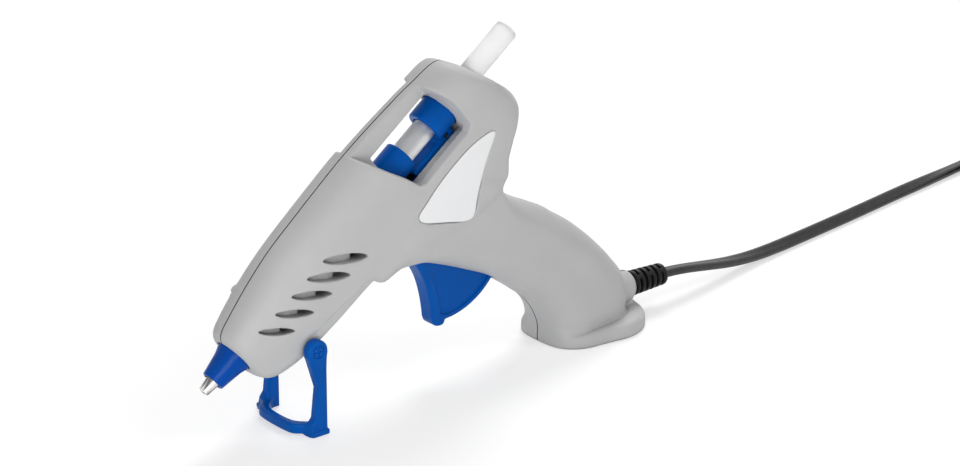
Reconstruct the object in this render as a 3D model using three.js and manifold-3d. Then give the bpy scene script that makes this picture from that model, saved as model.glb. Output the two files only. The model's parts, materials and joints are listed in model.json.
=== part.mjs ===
// Hot glue gun for 11 mm sticks, resting on its wire-form stand and on the foot of its grip.
// Millimetres, +Z up. The nozzle points to -X, the cord leaves to +X, the halves meet at Y = 0.
// Barrel pieces are drawn in barrel axes: x along the barrel from the nozzle tip, z across it.
import * as THREE from 'three';
import { mergeVertices } from 'three/addons/utils/BufferGeometryUtils.js';
import Module from 'manifold-3d';

const wasm = await Module();
wasm.setup();

// Common clearances and walls
const gap = 0.3;
const overrun = 6;
const wall = 2.5;
const seamGap = 0.3;
const carrierRib = 2;
const screwClear = 0.4;

// Barrel axis: its tilt, and where the housing's end lies ahead of the foot and above the grip
const barrelTilt = THREE.MathUtils.degToRad(37.72);
const headReach = 37.62;
const headRise = 64.1;

// Glue stick
const stickRadius = 5.6;
const stickProud = 20.8;
const stickFront = 62;
const stickClear = 0.55;

// Housing, as sizes along and across the barrel axis
const noseStart = 21.5;
const bodyLength = 181.5;
const ridgeHeight = 26.2;
const keelDepth = 50;
const halfWidth = 17;

// Grip and foot
const gripLength = 56;
const gripHeight = 88;
const gripHalfWidth = 15.5;
const footTail = 5;
const footHalfWidth = 26;
const footThickness = 7.5;
const footCorner = 16;

// Feed window
const windowSetback = 73;
const windowLength = 42;
const windowFloor = 12.1;
const windowTop = 17.5;
const notchFloor = 9;
const railHalf = 5.5;
const pocketHalf = 12;
const lipLean = 11;

// Nozzle and its sleeve
const tipRadius = 2.5;
const nozzleRadius = 4;
const nozzleBore = 0.9;
const nozzleHexRadius = 6;
const nozzleThread = 3.5;
const nozzleThreadLength = 8;
const nozzleHexLength = 4;
const nozzleBare = 7;
const nozzleTaper = 9;
const sleeveLength = 23;
const sleeveFrontRadius = 5.5;
const sleeveBaseRadius = 8.75;
const sleeveBaseAt = 15.5;

// Melt chamber and heater
const chamberLength = 64;
const chamberRadius = 9.6;
const chamberNeck = 7.6;
const chamberNeckLength = 14;
const flangeRadius = 11.6;
const flangeThickness = 2.6;
const spigotRadius = 7.6;
const spigotLength = 7;
const blockLength = 30;
const blockStart = 21;
const blockHalf = 8.5;
const blockDepth = 19.6;
const slotTop = 12;
const plateThickness = 0.5;
const heaterThickness = 2.2;
const filmThickness = 0.4;
const heaterHalf = 5.6;
const heaterLength = 24;
const plateTab = 3.5;
const clipThickness = 0.8;
const clipLength = 11;
const clipRise = 7;

// Silicone inlet sleeve, its clamp and the collar in the window
const inletRadius = 9.2;
const clampBand = 0.9;
const clampWidth = 2.6;
const collarRadius = 8.2;
const collarReach = 13.8;
const collarFlangeRadius = 11.2;
const collarFlangeLength = 8;
const socketDepth = 4;

// Feed carriage and jaw
const feedStroke = 14;
const ringRadius = 9.3;
const ringLength = 13.5;
const ringSetback = 30.5;
const barHalf = 5;
const barTop = 8.9;
const barReach = 19;
const tongueHalf = 3.3;
const tongueDepth = 24;
const tongueToe = 16;
const toeReach = 4;
const neckSetback = 16;
const neckLength = 10;
const drivePinDepth = 20;
const drivePinRadius = 1.75;
const drivePinClear = 0.35;
const jawHalf = 2.7;
const jawPinRadius = 1;
const jawPinDepth = 9.4;
const jawSetback = 5;
const jawReach = 3.1;
const jawClear = 0.75;

// Return spring between the carriage and a peg
const springRadius = 2.6;
const springWire = 0.45;
const springTurns = 8;
const springLength = 21.4;
const pegRadius = 2;

// Trigger, drawn about its pin
const triggerPinReach = 64.5;
const triggerPinDrop = 19.6;
const bellyReach = 27.5;
const triggerRadius = 39.2;
const triggerHalf = 5;
const triggerPinRadius = 2;
const triggerHub = 6.5;
const armHalf = 6.3;
const armSpread = 4.6;
const armTip = 4.2;
const armSlot = 3.7;
const armRoot = 4;
const webDepth = 1.5;
const rimWidth = 2.4;

// Stand, drawn about its pivot
const standSetback = 25.58;
const standDepth = 19.22;
const legInner = 16.6;
const legThickness = 5;
const legWidth = 5.8;
const eyeRadius = 5.4;
const studRadius = 3.2;
const studDepth = 3.6;
const crossbarHeight = 6;
const crossbarDepth = 4.4;
const crossbarBow = 6.6;
const crossbarLift = 0.6;
const padLength = 8.8;
const padHeight = 2.6;
const padProud = 1.2;
const recessHalf = 15.6;

// Housing screws
const screwShank = 1.45;
const screwHead = 2.9;
const screwHeadHeight = 1.8;
const bossRadius = 4.4;
const wellDepth = 6.5;
const rimRadius = 3.8;
const rimOut = 10.6;
const screwBite = 9.1;

// Label plates
const plateSheet = 0.6;
const plateProud = 0.15;

// Cord, strain relief, clamp and plug
const cordWidth = 6.8;
const cordHeight = 4.6;
const cordRise = 15.3;
const reliefSetback = 2.9;
const reliefLength = 22;
const reliefBaseRadius = 6.5;
const reliefEndRadius = 5.6;
const reliefNeck = 4.9;
const reliefFlange = 6.4;
const reliefFlangeLength = 2.6;
const reliefRibs = 5;
const reliefRibDepth = 1.1;
const bossWall = 3;
const cordBoss = 8.3;
const cordBossLength = 19;
const clampPlate = 2.4;
const clampLength = 6.5;
const clampInset = 20;
const clampReach = 7.6;
const clampScrew = 1.3;
const clampPost = 2.9;
const crimpRadius = 2.3;
const crimpLength = 10;
const leadRadius = 1.2;
const leadOffset = 9.2;

// Coil of the stored cord and the plug on its end, from where the cord leaves its relief
const coilStart = [298.8, 41];
const coilTurns = 6;
const coilRadius = 38.5;
const coilPitch = 7.4;
const coilRise = 5.15;
const coilLift = 3.22;
const coilSteps = 24;
const tieWidth = 5;
const tieThickness = 0.6;
const tailLength = 42;
const plugLength = 38;
const plugHalfWidth = 17;
const plugHalfHeight = 6.9;
const plugPinRadius = 2;
const plugPinLength = 19;
const plugPinSpacing = 18.6;

// Finishes
const finish = {
  housing: new THREE.MeshStandardMaterial({ color: 0xb4b5b4, roughness: 0.55, metalness: 0 }),
  plate: new THREE.MeshStandardMaterial({ color: 0xe4e5e6, roughness: 0.4, metalness: 0 }),
  blue: new THREE.MeshStandardMaterial({ color: 0x0a4fa3, roughness: 0.4, metalness: 0 }),
  sleeve: new THREE.MeshStandardMaterial({ color: 0x12409c, roughness: 0.5, metalness: 0 }),
  silicone: new THREE.MeshStandardMaterial({ color: 0xb5523a, roughness: 0.6, metalness: 0 }),
  steel: new THREE.MeshStandardMaterial({ color: 0xc9c7c4, roughness: 0.25, metalness: 1 }),
  aluminium: new THREE.MeshStandardMaterial({ color: 0xb9bcc0, roughness: 0.45, metalness: 1 }),
  brass: new THREE.MeshStandardMaterial({ color: 0xc8a24a, roughness: 0.35, metalness: 1 }),
  ceramic: new THREE.MeshStandardMaterial({ color: 0x8a8d90, roughness: 0.7, metalness: 0 }),
  film: new THREE.MeshStandardMaterial({ color: 0xc98a2b, roughness: 0.4, metalness: 0 }),
  glue: new THREE.MeshStandardMaterial({ color: 0xe9e9e4, roughness: 0.3, metalness: 0 }),
  rubber: new THREE.MeshStandardMaterial({ color: 0x1b1b1c, roughness: 0.5, metalness: 0 }),
  live: new THREE.MeshStandardMaterial({ color: 0x6b3f24, roughness: 0.5, metalness: 0 }),
  neutral: new THREE.MeshStandardMaterial({ color: 0x2563a8, roughness: 0.5, metalness: 0 }),
};

// Turns a triangle list inside out when its faces point inward
function facingOut(geometry) {
  const corners = geometry.getAttribute('position');
  const index = geometry.getIndex();
  const [a, b, c] = [new THREE.Vector3(), new THREE.Vector3(), new THREE.Vector3()];
  let volume = 0;
  for (let i = 0; i < index.count; i += 3) {
    a.fromBufferAttribute(corners, index.getX(i));
    b.fromBufferAttribute(corners, index.getX(i + 1));
    c.fromBufferAttribute(corners, index.getX(i + 2));
    volume += a.dot(b.cross(c));
  }
  if (volume < 0) index.array.reverse();
  return geometry;
}

// Makes a solid for cutting and joining from any closed geometry
function solid(geometry) {
  const bare = geometry.clone();
  bare.deleteAttribute('normal');
  bare.deleteAttribute('uv');
  const merged = facingOut(mergeVertices(bare, 1e-4));
  return new wasm.Manifold(new wasm.Mesh({
    numProp: 3,
    vertProperties: new Float32Array(merged.getAttribute('position').array),
    triVerts: new Uint32Array(merged.getIndex().array),
  }));
}

const join = (...solids) => solids.reduce((whole, next) => whole.add(next));
const cut = (whole, ...tools) => tools.reduce((rest, tool) => rest.subtract(tool), whole);

// Names a finished solid and gives it its material
function piece(name, body, material) {
  const mesh = body.getMesh();
  const geometry = new THREE.BufferGeometry();
  geometry.setAttribute('position', new THREE.BufferAttribute(mesh.vertProperties, 3));
  geometry.setIndex(new THREE.BufferAttribute(mesh.triVerts, 1));
  geometry.computeVertexNormals();
  const made = new THREE.Mesh(geometry, material);
  made.name = name;
  return made;
}

// A flat outline in X and Z, carried along Y from one side to the other
function prism(points, low, high) {
  const shape = points instanceof THREE.Shape ? points
    : new THREE.Shape(points.map(([x, z]) => new THREE.Vector2(x, z)));
  const geometry = new THREE.ExtrudeGeometry(shape, {
    depth: high - low, bevelEnabled: false, curveSegments: 4,
  });
  geometry.rotateX(Math.PI / 2);
  geometry.translate(0, high, 0);
  return solid(geometry);
}

// A box from its lowest and highest corners
function block(low, high) {
  const size = high.map((value, i) => value - low[i]);
  const geometry = new THREE.BoxGeometry(...size);
  geometry.translate(...low.map((value, i) => value + size[i] / 2));
  return solid(geometry);
}

// A profile of [along x, radius] pairs turned about the X axis
function turned(profile, sides = 20) {
  const geometry = new THREE.LatheGeometry(profile.map(([x, r]) => new THREE.Vector2(r, x)), sides);
  geometry.rotateZ(-Math.PI / 2);
  return solid(geometry);
}

// A solid rod on the X axis, and a tube of one bore
const rod = (from, to, radius, sides) => turned([[from, 0], [from, radius], [to, radius], [to, 0]], sides);
const tube = (from, to, bore, radius, sides) => turned(
  [[from, bore], [from, radius], [to, radius], [to, bore], [from, bore]], sides);

// A round bar across the width at a place in X and Z
function crossRod(x, z, radius, low, high, sides = 14) {
  const geometry = new THREE.CylinderGeometry(radius, radius, high - low, sides);
  geometry.translate(x, (low + high) / 2, z);
  return solid(geometry);
}

// A closed skin over rings that have the same number of points
function skin(rings, closed = false) {
  const count = rings[0].length;
  const points = rings.flat();
  const faces = [];
  const last = closed ? rings.length : rings.length - 1;
  for (let i = 0; i < last; i += 1) {
    const near = i * count;
    const far = ((i + 1) % rings.length) * count;
    for (let j = 0; j < count; j += 1) {
      const k = (j + 1) % count;
      faces.push(near + j, far + j, far + k, near + j, far + k, near + k);
    }
  }
  if (!closed) {
    for (let j = 1; j < count - 1; j += 1) {
      const end = (rings.length - 1) * count;
      faces.push(0, j, j + 1, end, end + j + 1, end + j);
    }
  }
  const geometry = new THREE.BufferGeometry();
  geometry.setAttribute('position', new THREE.Float32BufferAttribute(points.flatMap((p) => p.toArray()), 3));
  geometry.setIndex(faces);
  return solid(geometry);
}

// A tube of round section along a list of points
function pipe(points, radius, sides, steps) {
  const round = new THREE.Shape(cordSection(radius, radius, sides));
  const path = new THREE.CatmullRomCurve3(points.map((p) => new THREE.Vector3(...p)), false, 'centripetal');
  return solid(new THREE.ExtrudeGeometry(round, { steps, extrudePath: path, bevelEnabled: false }));
}

// Barrel axes to gun axes
const bodyEnd = noseStart + bodyLength;
const tip = new THREE.Vector3(
  -headReach - bodyEnd * Math.cos(barrelTilt), 0, gripHeight + headRise - bodyEnd * Math.sin(barrelTilt),
);
const barrelMatrix = new THREE.Matrix4().makeRotationY(-barrelTilt).setPosition(tip);
const fromBarrel = (along, across, y = 0) => new THREE.Vector3(along, y, across).applyMatrix4(barrelMatrix);
const inGun = (barrelSolid) => barrelSolid.transform([...barrelMatrix.elements]);

// Places that the barrel, the grip and the foot give
const triggerPin = new THREE.Vector3(-triggerPinReach, 0, gripHeight - triggerPinDrop);
const standAt = fromBarrel(noseStart + standSetback, -standDepth);
const gripReach = triggerPinReach + bellyReach;
const footLength = gripLength + footTail;
const reliefStart = gripLength + reliefSetback;
const clampAt = gripLength - clampInset;
const windowFront = bodyEnd - windowSetback;
const windowRear = windowFront + windowLength;
const neckFront = windowFront + neckSetback;

// One rib of the housing: a flat-sided ring with a rounded ridge and keel
const ribSteps = 3;
const ribPower = 2.3;

function ribRing({ ridge, keel, width, ridgeRound, keelRound }) {
  const down = keel.clone().sub(ridge).normalize();
  const side = new THREE.Vector3(0, 1, 0);
  const half = [];
  const corner = (from, inward, round, turn) => {
    const deep = round * (1 - Math.cos(turn) ** (2 / ribPower));
    const out = width * Math.sin(turn) ** (2 / ribPower);
    half.push([from.clone().addScaledVector(inward, deep), out]);
  };
  for (let i = 0; i <= ribSteps; i += 1) corner(ridge, down, ridgeRound, (i / ribSteps) * (Math.PI / 2));
  const up = down.clone().negate();
  for (let i = ribSteps; i >= 0; i -= 1) corner(keel, up, keelRound, (i / ribSteps) * (Math.PI / 2));
  const near = half.map(([at, out]) => at.clone().addScaledVector(side, -out));
  const far = half.slice(1, -1).reverse().map(([at, out]) => at.clone().addScaledVector(side, out));
  return [...near, ...far];
}

// The same rib drawn in by the wall, for the hollow
function innerRib(rib, shift) {
  const down = rib.keel.clone().sub(rib.ridge).normalize();
  return {
    ridge: rib.ridge.clone().addScaledVector(down, wall).add(shift),
    keel: rib.keel.clone().addScaledVector(down, -wall).add(shift),
    width: rib.width - wall,
    ridgeRound: rib.ridgeRound - wall / 2,
    keelRound: rib.keelRound - wall / 2,
  };
}

// Barrel and head ribs: along, ridge, keel, width, ridge round, keel round,
// as shares of body length, ridge height, keel depth and half width
const barrelRibShares = [
  [0, 0.4, 0.26, 0.6, 0.53, 0.4],
  [0.011, 0.515, 0.34, 0.74, 0.7, 0.4],
  [0.058, 0.634, 0.41, 0.84, 0.82, 0.42],
  [0.124, 0.752, 0.465, 0.915, 1, 0.42],
  [0.19, 0.847, 0.5, 0.96, 1.18, 0.45],
  [0.256, 0.912, 0.514, 0.982, 1.29, 0.47],
  [0.38, 0.959, 0.53, 1, 1.29, 0.47],
  [0.398, 0.966, 0.645, 1, 1.29, 0.5],
  [0.43, 0.975, 0.69, 1, 1.29, 0.6],
  [0.543, 1, 0.8, 1, 1.29, 0.7],
  [0.763, 0.927, 0.96, 1, 1.29, 0.3],
  [0.829, 0.874, 1, 1, 1.18, 0.3],
  [0.873, 0.84, 0.89, 1, 1.06, 0.5],
  [0.906, 0.763, 0.804, 0.988, 0.88, 0.5],
  [0.934, 0.458, 0.724, 0.96, 0.59, 0.45],
  [0.961, 0.095, 0.65, 0.88, 0.53, 0.4],
  [0.983, -0.305, 0.59, 0.735, 0.47, 0.3],
  [1, -0.65, 0.54, 0.47, 0.235, 0.2],
];

function barrelRib([along, ridge, keel, width, ridgeRound, keelRound]) {
  const at = noseStart + bodyLength * along;
  return {
    ridge: fromBarrel(at, ridgeHeight * ridge),
    keel: fromBarrel(at, -keelDepth * keel),
    width: halfWidth * width,
    ridgeRound: halfWidth * ridgeRound,
    keelRound: halfWidth * keelRound,
  };
}

// Grip ribs: back X and Z, front X and Z, width, back round, front round,
// as shares of grip length (or reach, where ahead of the foot), grip height and grip half width
const gripRibShares = [
  [-0.5, 1.14, -1.09, 0.85, 1.03, 0.3, 0.8],
  [-0.402, 1.102, -1, 0.735, 1.03, 0.3, 0.8],
  [-0.337, 1.01, -0.87, 0.715, 1.02, 0.35, 0.8],
  [-0.217, 0.923, -0.717, 0.66, 0.97, 0.85, 0.85],
  [-0.098, 0.861, -0.576, 0.597, 0.94, 1.15, 0.9],
  [0.054, 0.784, -0.446, 0.535, 0.93, 1.2, 1],
  [0.268, 0.693, -0.326, 0.46, 0.93, 1.2, 1.1],
  [0.5, 0.568, -0.212, 0.375, 0.95, 1.2, 1.2],
  [0.714, 0.427, -0.109, 0.284, 1, 1.2, 1.25],
  [0.862, 0.295, -0.046, 0.188, 1.1, 1.2, 1.2],
  [0.9, 0.17, -0.013, 0.102, 1.25, 1.15, 1.1],
  [0.91, 0.091, 0, 0.057, 1.4, 1.1, 1],
  [0.915, 0, 0, 0, 1.52, 1.05, 0.9],
];

function gripRib([backX, backZ, frontX, frontZ, width, backRound, frontRound]) {
  const reachOf = (share) => share * (share < 0 ? gripReach : gripLength);
  return {
    ridge: new THREE.Vector3(reachOf(backX), 0, gripHeight * backZ),
    keel: new THREE.Vector3(reachOf(frontX), 0, gripHeight * frontZ),
    width: gripHalfWidth * width,
    ridgeRound: gripHalfWidth * backRound,
    keelRound: gripHalfWidth * frontRound,
  };
}

const barrelRibs = barrelRibShares.map(barrelRib);
const gripRibs = gripRibShares.map(gripRib);
const noShift = new THREE.Vector3();

// The hollow needs only every other rib, with the first and the last
const everyOther = (list) => list.filter((_, i) => i % 2 === 0 || i === list.length - 1);

function barrelHollow() {
  const ribs = barrelRibs.map((rib, i) => {
    const toward = 1 - 2 * barrelRibShares[i][0];
    const shift = fromBarrel(wall * toward, 0).sub(tip);
    return innerRib(rib, shift);
  });
  return skin(everyOther(ribs).map(ribRing));
}

function gripHollow() {
  const ribs = gripRibs.map((rib) => {
    const inner = innerRib(rib, noShift);
    inner.ridge.z = Math.max(inner.ridge.z, wall);
    inner.keel.z = Math.max(inner.keel.z, wall);
    return inner;
  });
  return skin(everyOther(ribs).map(ribRing));
}

// The foot: a plate with a round tail under the grip
function footPlate() {
  const outline = new THREE.Shape();
  const tail = footHalfWidth;
  const bevel = footThickness / 4;
  const front = footHalfWidth - bevel;
  outline.moveTo(footCorner, -front);
  outline.lineTo(footLength - tail, -footHalfWidth);
  outline.absellipse(footLength - tail, 0, tail, footHalfWidth, -Math.PI / 2, Math.PI / 2, false);
  outline.lineTo(footCorner, front);
  outline.quadraticCurveTo(0, front, 0, footHalfWidth - footCorner);
  outline.lineTo(0, -footHalfWidth + footCorner);
  outline.quadraticCurveTo(0, -front, footCorner, -front);
  const geometry = new THREE.ExtrudeGeometry(outline, {
    depth: footThickness - bevel, bevelEnabled: true, bevelSize: bevel, bevelThickness: bevel,
    bevelOffset: -bevel, bevelSegments: 1, curveSegments: 5,
  });
  return cut(
    solid(geometry),
    block([-footLength, -footLength, -footThickness], [footLength * 2, footLength, 0]),
  );
}

// Housing screws: along and across the barrel as shares of body length and ridge height,
// then along and up the grip as shares of its length and height
const barrelScrewShares = [[0.13, 0.553], [0.499, 0.65], [0.895, 0.5], [0.477, -1.069]];
const gripScrewShares = [[-0.624, 1.09], [0.14, 0.62], [0.2, 0.16]];
const screwPlaces = [
  ...barrelScrewShares.map(([x, z]) => fromBarrel(noseStart + bodyLength * x, ridgeHeight * z)),
  ...gripScrewShares.map(([x, z]) => new THREE.Vector3(gripLength * x, 0, gripHeight * z)),
];

// Lens-shaped vents, climbing along each flank
const ventCount = 5;
const ventFirst = 34.3;
const ventStep = 10.8;
const ventSpan = 12.7;
const ventGrow = 1.4;
const ventTop = 8.9;
const ventDrop = 14.7;
const ventBelly = 3.2;
const ventShares = { fall: 0.7, swell: 0.09 };

function vent(i) {
  const start = new THREE.Vector2(ventFirst + ventStep * i, ventTop);
  const grow = ventGrow * i;
  const end = new THREE.Vector2(start.x + ventSpan + grow, ventTop - ventDrop - grow * ventShares.fall);
  const side = end.clone().sub(start).normalize();
  const bulge = new THREE.Vector2(-side.y, side.x).multiplyScalar(ventBelly * (1 + i * ventShares.swell));
  const middle = start.clone().add(end).multiplyScalar(0.5);
  const lens = new THREE.Shape();
  lens.moveTo(start.x, start.y);
  lens.quadraticCurveTo(middle.x + bulge.x, middle.y + bulge.y, end.x, end.y);
  lens.quadraticCurveTo(middle.x - bulge.x, middle.y - bulge.y, start.x, start.y);
  const near = prism(lens, -halfWidth - overrun, -recessHalf + wall * 2);
  return inGun(join(near, near.mirror([0, 1, 0])));
}

const far = halfWidth + overrun * 2;

// Plain material kept round the window, before the window is cut
const windowSurround = () => inGun(block(
  [windowFront - wall, -far, -windowFloor - wall],
  [windowRear + wall, far, ridgeHeight + overrun],
));

// The window's front lip leans: shares of its lean, and of the ridge height above the axis
// or of the notch floor's depth below it
const lipShares = {
  ridge: -0.7, middle: 0.3, middleRise: 0.07, corner: 0.56, cornerRise: 0.74, floor: 1,
  rear: 0.2, rearRise: 0.7,
};

function windowCut() {
  const through = block([windowFront, -pocketHalf, -windowFloor], [windowRear, pocketHalf, windowTop]);
  const lip = [
    [windowFront - lipLean, ridgeHeight + overrun],
    [windowFront + lipLean * lipShares.ridge, ridgeHeight],
    [windowFront + lipLean * lipShares.middle, ridgeHeight * lipShares.middleRise],
    [windowFront + lipLean * lipShares.corner, -notchFloor * lipShares.cornerRise],
    [windowFront + lipLean * lipShares.floor, -notchFloor],
    [windowRear - lipLean * lipShares.rear, -notchFloor],
    [windowRear, -notchFloor * lipShares.rearRise],
    [windowRear, ridgeHeight + overrun],
  ];
  const near = prism(lip, -far, -railHalf);
  const other = prism(lip, railHalf, far);
  const sides = block([windowFront, -far, -windowFloor - gap], [windowRear, -barHalf - wall, -notchFloor]);
  const keepFloor = join(sides, sides.mirror([0, 1, 0]));
  return inGun(join(cut(through, keepFloor), near, other));
}

// Cuts in the window's walls and floor for the collar, the carriage and the stick
function feedCuts() {
  const collarBore = rod(windowFront - wall - overrun, windowFront + overrun, collarRadius + gap);
  const collarSeat = rod(windowFront - wall - overrun, windowFront - wall, collarFlangeRadius + gap);
  const barWay = block(
    [windowFront - wall - gap, -barHalf - gap, -windowFloor],
    [windowFront + overrun, barHalf + gap, -collarRadius],
  );
  const floorSlot = block(
    [neckFront - feedStroke - gap, -tongueHalf - gap, -windowFloor - wall - overrun],
    [neckFront + neckLength + gap, tongueHalf + gap, -windowFloor + overrun / 2],
  );
  const ringWay = rod(windowRear - overrun, windowRear + overrun, ringRadius + gap);
  const stickWay = rod(windowRear, bodyEnd + overrun, stickRadius + wall / 2);
  return inGun(join(collarBore, collarSeat, barWay, floorSlot, ringWay, stickWay));
}

// Slot in the belly for the trigger
function triggerSlot() {
  const disc = crossRod(triggerPin.x, triggerPin.z, triggerRadius + gap * 2,
    -triggerHalf - gap, triggerHalf + gap, 40);
  const keep = block(
    [triggerPin.x - triggerRadius / 2, -far, 0],
    [triggerPin.x + triggerRadius * 2, far, triggerPin.z + gap * 10],
  );
  return disc.intersect(keep);
}

// Recess along each lower flank where the folded stand lies, as shares of the eye's radius
const recessShares = { front: -1.3, frontRise: 1.25, step: 0.6, stepRise: 0.9 };

function standRecess() {
  const x = noseStart + standSetback;
  const z = -standDepth;
  const end = x + standAt.z;
  const outline = [
    [x + eyeRadius * recessShares.front, z + eyeRadius * recessShares.frontRise],
    [x + eyeRadius * recessShares.step, z + eyeRadius * recessShares.stepRise],
    [end, z],
    [end + crossbarHeight / 2, z - legWidth],
    [end + crossbarHeight / 2, -keelDepth],
    [x + eyeRadius * recessShares.front, -keelDepth],
  ];
  const near = prism(outline, -far, -recessHalf);
  return inGun(join(near, near.mirror([0, 1, 0])));
}

// Chain of places along the barrel, each from the piece before it
const sleeveStart = nozzleBare - gap * 2;
const sleeveEnd = sleeveStart + sleeveLength;
const hexStart = sleeveEnd + gap;
const chamberStart = hexStart + nozzleHexLength + gap;
const chamberEnd = chamberStart + chamberLength;
const inletStart = chamberEnd - spigotLength + gap;
const collarStart = windowFront - wall - gap - collarFlangeLength;
const inletEnd = collarStart + socketDepth - gap * 3;
const collarEnd = windowFront + collarReach;
const ringStart = windowFront + ringSetback;
const ringEnd = ringStart + ringLength;
const blockFrom = chamberStart + blockStart;
const blockTo = blockFrom + blockLength;
const pinInBarrel = triggerPin.clone().sub(tip).applyAxisAngle(new THREE.Vector3(0, 1, 0), barrelTilt);
const drivePinAt = pinInBarrel.x + feedStroke / 2;
const tongueEnd = neckFront + neckLength;
const springPeg = fromBarrel(tongueEnd + gap * 2 + springLength + pegRadius, -drivePinDepth);

// Ribs inside the halves that carry the hot end and the inlet
function carrierRibs() {
  const slab = (from, to) => inGun(block([from, -far, -keelDepth], [to, far, ridgeHeight + overrun]));
  const places = [
    chamberStart + flangeThickness + gap,
    chamberEnd - spigotLength - flangeThickness - gap - carrierRib,
    inletEnd - carrierRib * 4,
  ];
  return cut(join(...places.map((from) => slab(from, from + carrierRib))), carrierBores());
}

// Room inside the ribs for what they carry and for the leads below
function carrierBores() {
  const front = rod(chamberStart, chamberStart + flangeThickness * 3, chamberNeck + gap);
  const mid = rod(blockTo - gap, chamberEnd, chamberRadius + gap);
  const rear = rod(chamberEnd, inletEnd, inletRadius + gap);
  const leadWay = block(
    [blockTo - wall, -leadOffset - leadRadius * 2, -keelDepth + wall],
    [collarStart + overrun, leadOffset + leadRadius * 2, -chamberRadius - gap],
  );
  return inGun(join(front, mid, rear, leadWay));
}

// Bosses, pins' seats and posts that both halves grow inward
function bosses() {
  const across = (x, z, radius, low) => crossRod(x, z, radius, low, far);
  const posts = screwPlaces.map((at) => across(at.x, at.z, bossRadius, 0));
  posts.push(across(springPeg.x, springPeg.z, pegRadius, 0));
  const hub = across(triggerPin.x, triggerPin.z, triggerPinRadius + wall, armHalf + gap);
  const oneSide = join(...posts, hub);
  return join(oneSide, oneSide.mirror([0, 1, 0]));
}

const studs = () => join(
  crossRod(standAt.x, standAt.z, studRadius, -legInner - studDepth, legInner + studDepth),
  crossRod(standAt.x, standAt.z, eyeRadius, -legInner + gap, legInner - gap, 18),
);

const screwRims = () => join(...screwPlaces.slice(0, 1).map(
  (at) => crossRod(at.x, at.z, rimRadius, recessHalf / 2, rimOut),
));

function screwCuts() {
  const each = screwPlaces.map((at) => join(
    crossRod(at.x, at.z, screwShank + screwClear, -screwBite, far, 12),
    crossRod(at.x, at.z, screwHead + screwClear, wellDepth, far * 2, 14),
  ));
  return join(...each);
}

const pinCut = () => crossRod(triggerPin.x, triggerPin.z, triggerPinRadius + gap,
  -recessHalf + wall, recessHalf - wall);

// The label's outline on the flank: behind the window's front as shares of its setback,
// and below the axis as shares of the keel's depth
const labelShares = [
  [0.692, 0.428], [0.592, 0.505], [0.478, 0.601], [0.331, 0.757], [0.254, 0.849], [0.22, 0.864],
  [0.177, 0.832], [0.094, 0.698], [-0.056, 0.435], [-0.061, 0.382], [-0.042, 0.353], [0.038, 0.332],
  [0.182, 0.3], [0.364, 0.289], [0.532, 0.306], [0.639, 0.346], [0.687, 0.377], [0.701, 0.403],
];
const labelOutline = (grow) => {
  const points = labelShares.map(([along, down]) => {
    const at = fromBarrel(windowFront + windowSetback * along, -keelDepth * down);
    return new THREE.Vector2(at.x, at.z);
  });
  const centre = points.reduce((sum, p) => sum.add(p), new THREE.Vector2()).divideScalar(points.length);
  return points.map((p) => {
    const out = p.clone().sub(centre);
    return out.setLength(out.length() + grow).add(centre).toArray();
  });
};
const labelRecess = () => {
  const near = prism(labelOutline(gap), -far, -halfWidth + plateSheet);
  return join(near, near.mirror([0, 1, 0]));
};

// Collar behind the grip that the strain relief snaps into
const cordBossOuter = () => {
  const bevel = wall / 2;
  const end = reliefStart - gap;
  return turned([
    [end - cordBossLength, 0], [end - cordBossLength, cordBoss], [end - bevel, cordBoss],
    [end, cordBoss - bevel], [end, 0],
  ], 24).translate([0, 0, cordRise]);
};

const reliefWallStart = reliefStart - gap - bossWall;
const cordCuts = () => join(
  rod(reliefStart - gap - cordBossLength - overrun, reliefWallStart, reliefFlange + gap, 20),
  rod(reliefWallStart - overrun, reliefStart + overrun, reliefNeck + gap, 20),
).translate([0, 0, cordRise]);

// Posts for the cord clamp's screws and its saddle, grown from the near half;
// how deep each starts in the wall, as shares of the grip's half width
const postDepthShares = { lower: 1.3, saddle: 1.15, upper: 1.06 };

function clampPosts() {
  const post = (z, deep) => crossRod(clampAt, z, clampPost, -gripHalfWidth * deep, cordWidth / 2, 12);
  const saddle = block(
    [clampAt - clampLength / 2, -gripHalfWidth * postDepthShares.saddle, cordRise - cordHeight / 2],
    [clampAt + clampLength / 2, -cordWidth / 2 - gap, cordRise + cordHeight / 2],
  );
  return join(
    post(cordRise - clampReach, postDepthShares.lower),
    post(cordRise + clampReach, postDepthShares.upper),
    saddle,
  );
}

const clampHoles = () => join(...[-1, 1].map((side) => crossRod(
  clampAt, cordRise + side * clampReach, clampScrew + gap, -wellDepth - gap, cordWidth, 10)));

// Both halves, cut from one hollow form
function housing() {
  const outer = join(
    skin(barrelRibs.map(ribRing)), skin(gripRibs.map(ribRing)), footPlate(), cordBossOuter(),
  );
  const rooms = cut(join(barrelHollow(), gripHollow()), windowSurround(), carrierRibs(), bosses());
  const cuts = [
    standRecess(), windowCut(), feedCuts(), triggerSlot(), labelRecess(), cordCuts(),
    inGun(rod(noseStart - overrun, noseStart + overrun, sleeveBaseRadius + gap)),
    ...Array.from({ length: ventCount }, (_, i) => vent(i)),
  ];
  const formed = cut(join(cut(outer, rooms, ...cuts), studs(), screwRims()), pinCut(), screwCuts());
  const nearSide = block([-bodyLength * 2, -far * 2, -far], [bodyLength, -seamGap / 2, bodyLength * 2]);
  const nearHalf = join(formed.intersect(nearSide), clampPosts());
  return [cut(nearHalf, clampHoles()), formed.intersect(nearSide.mirror([0, 1, 0]))];
}

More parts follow.
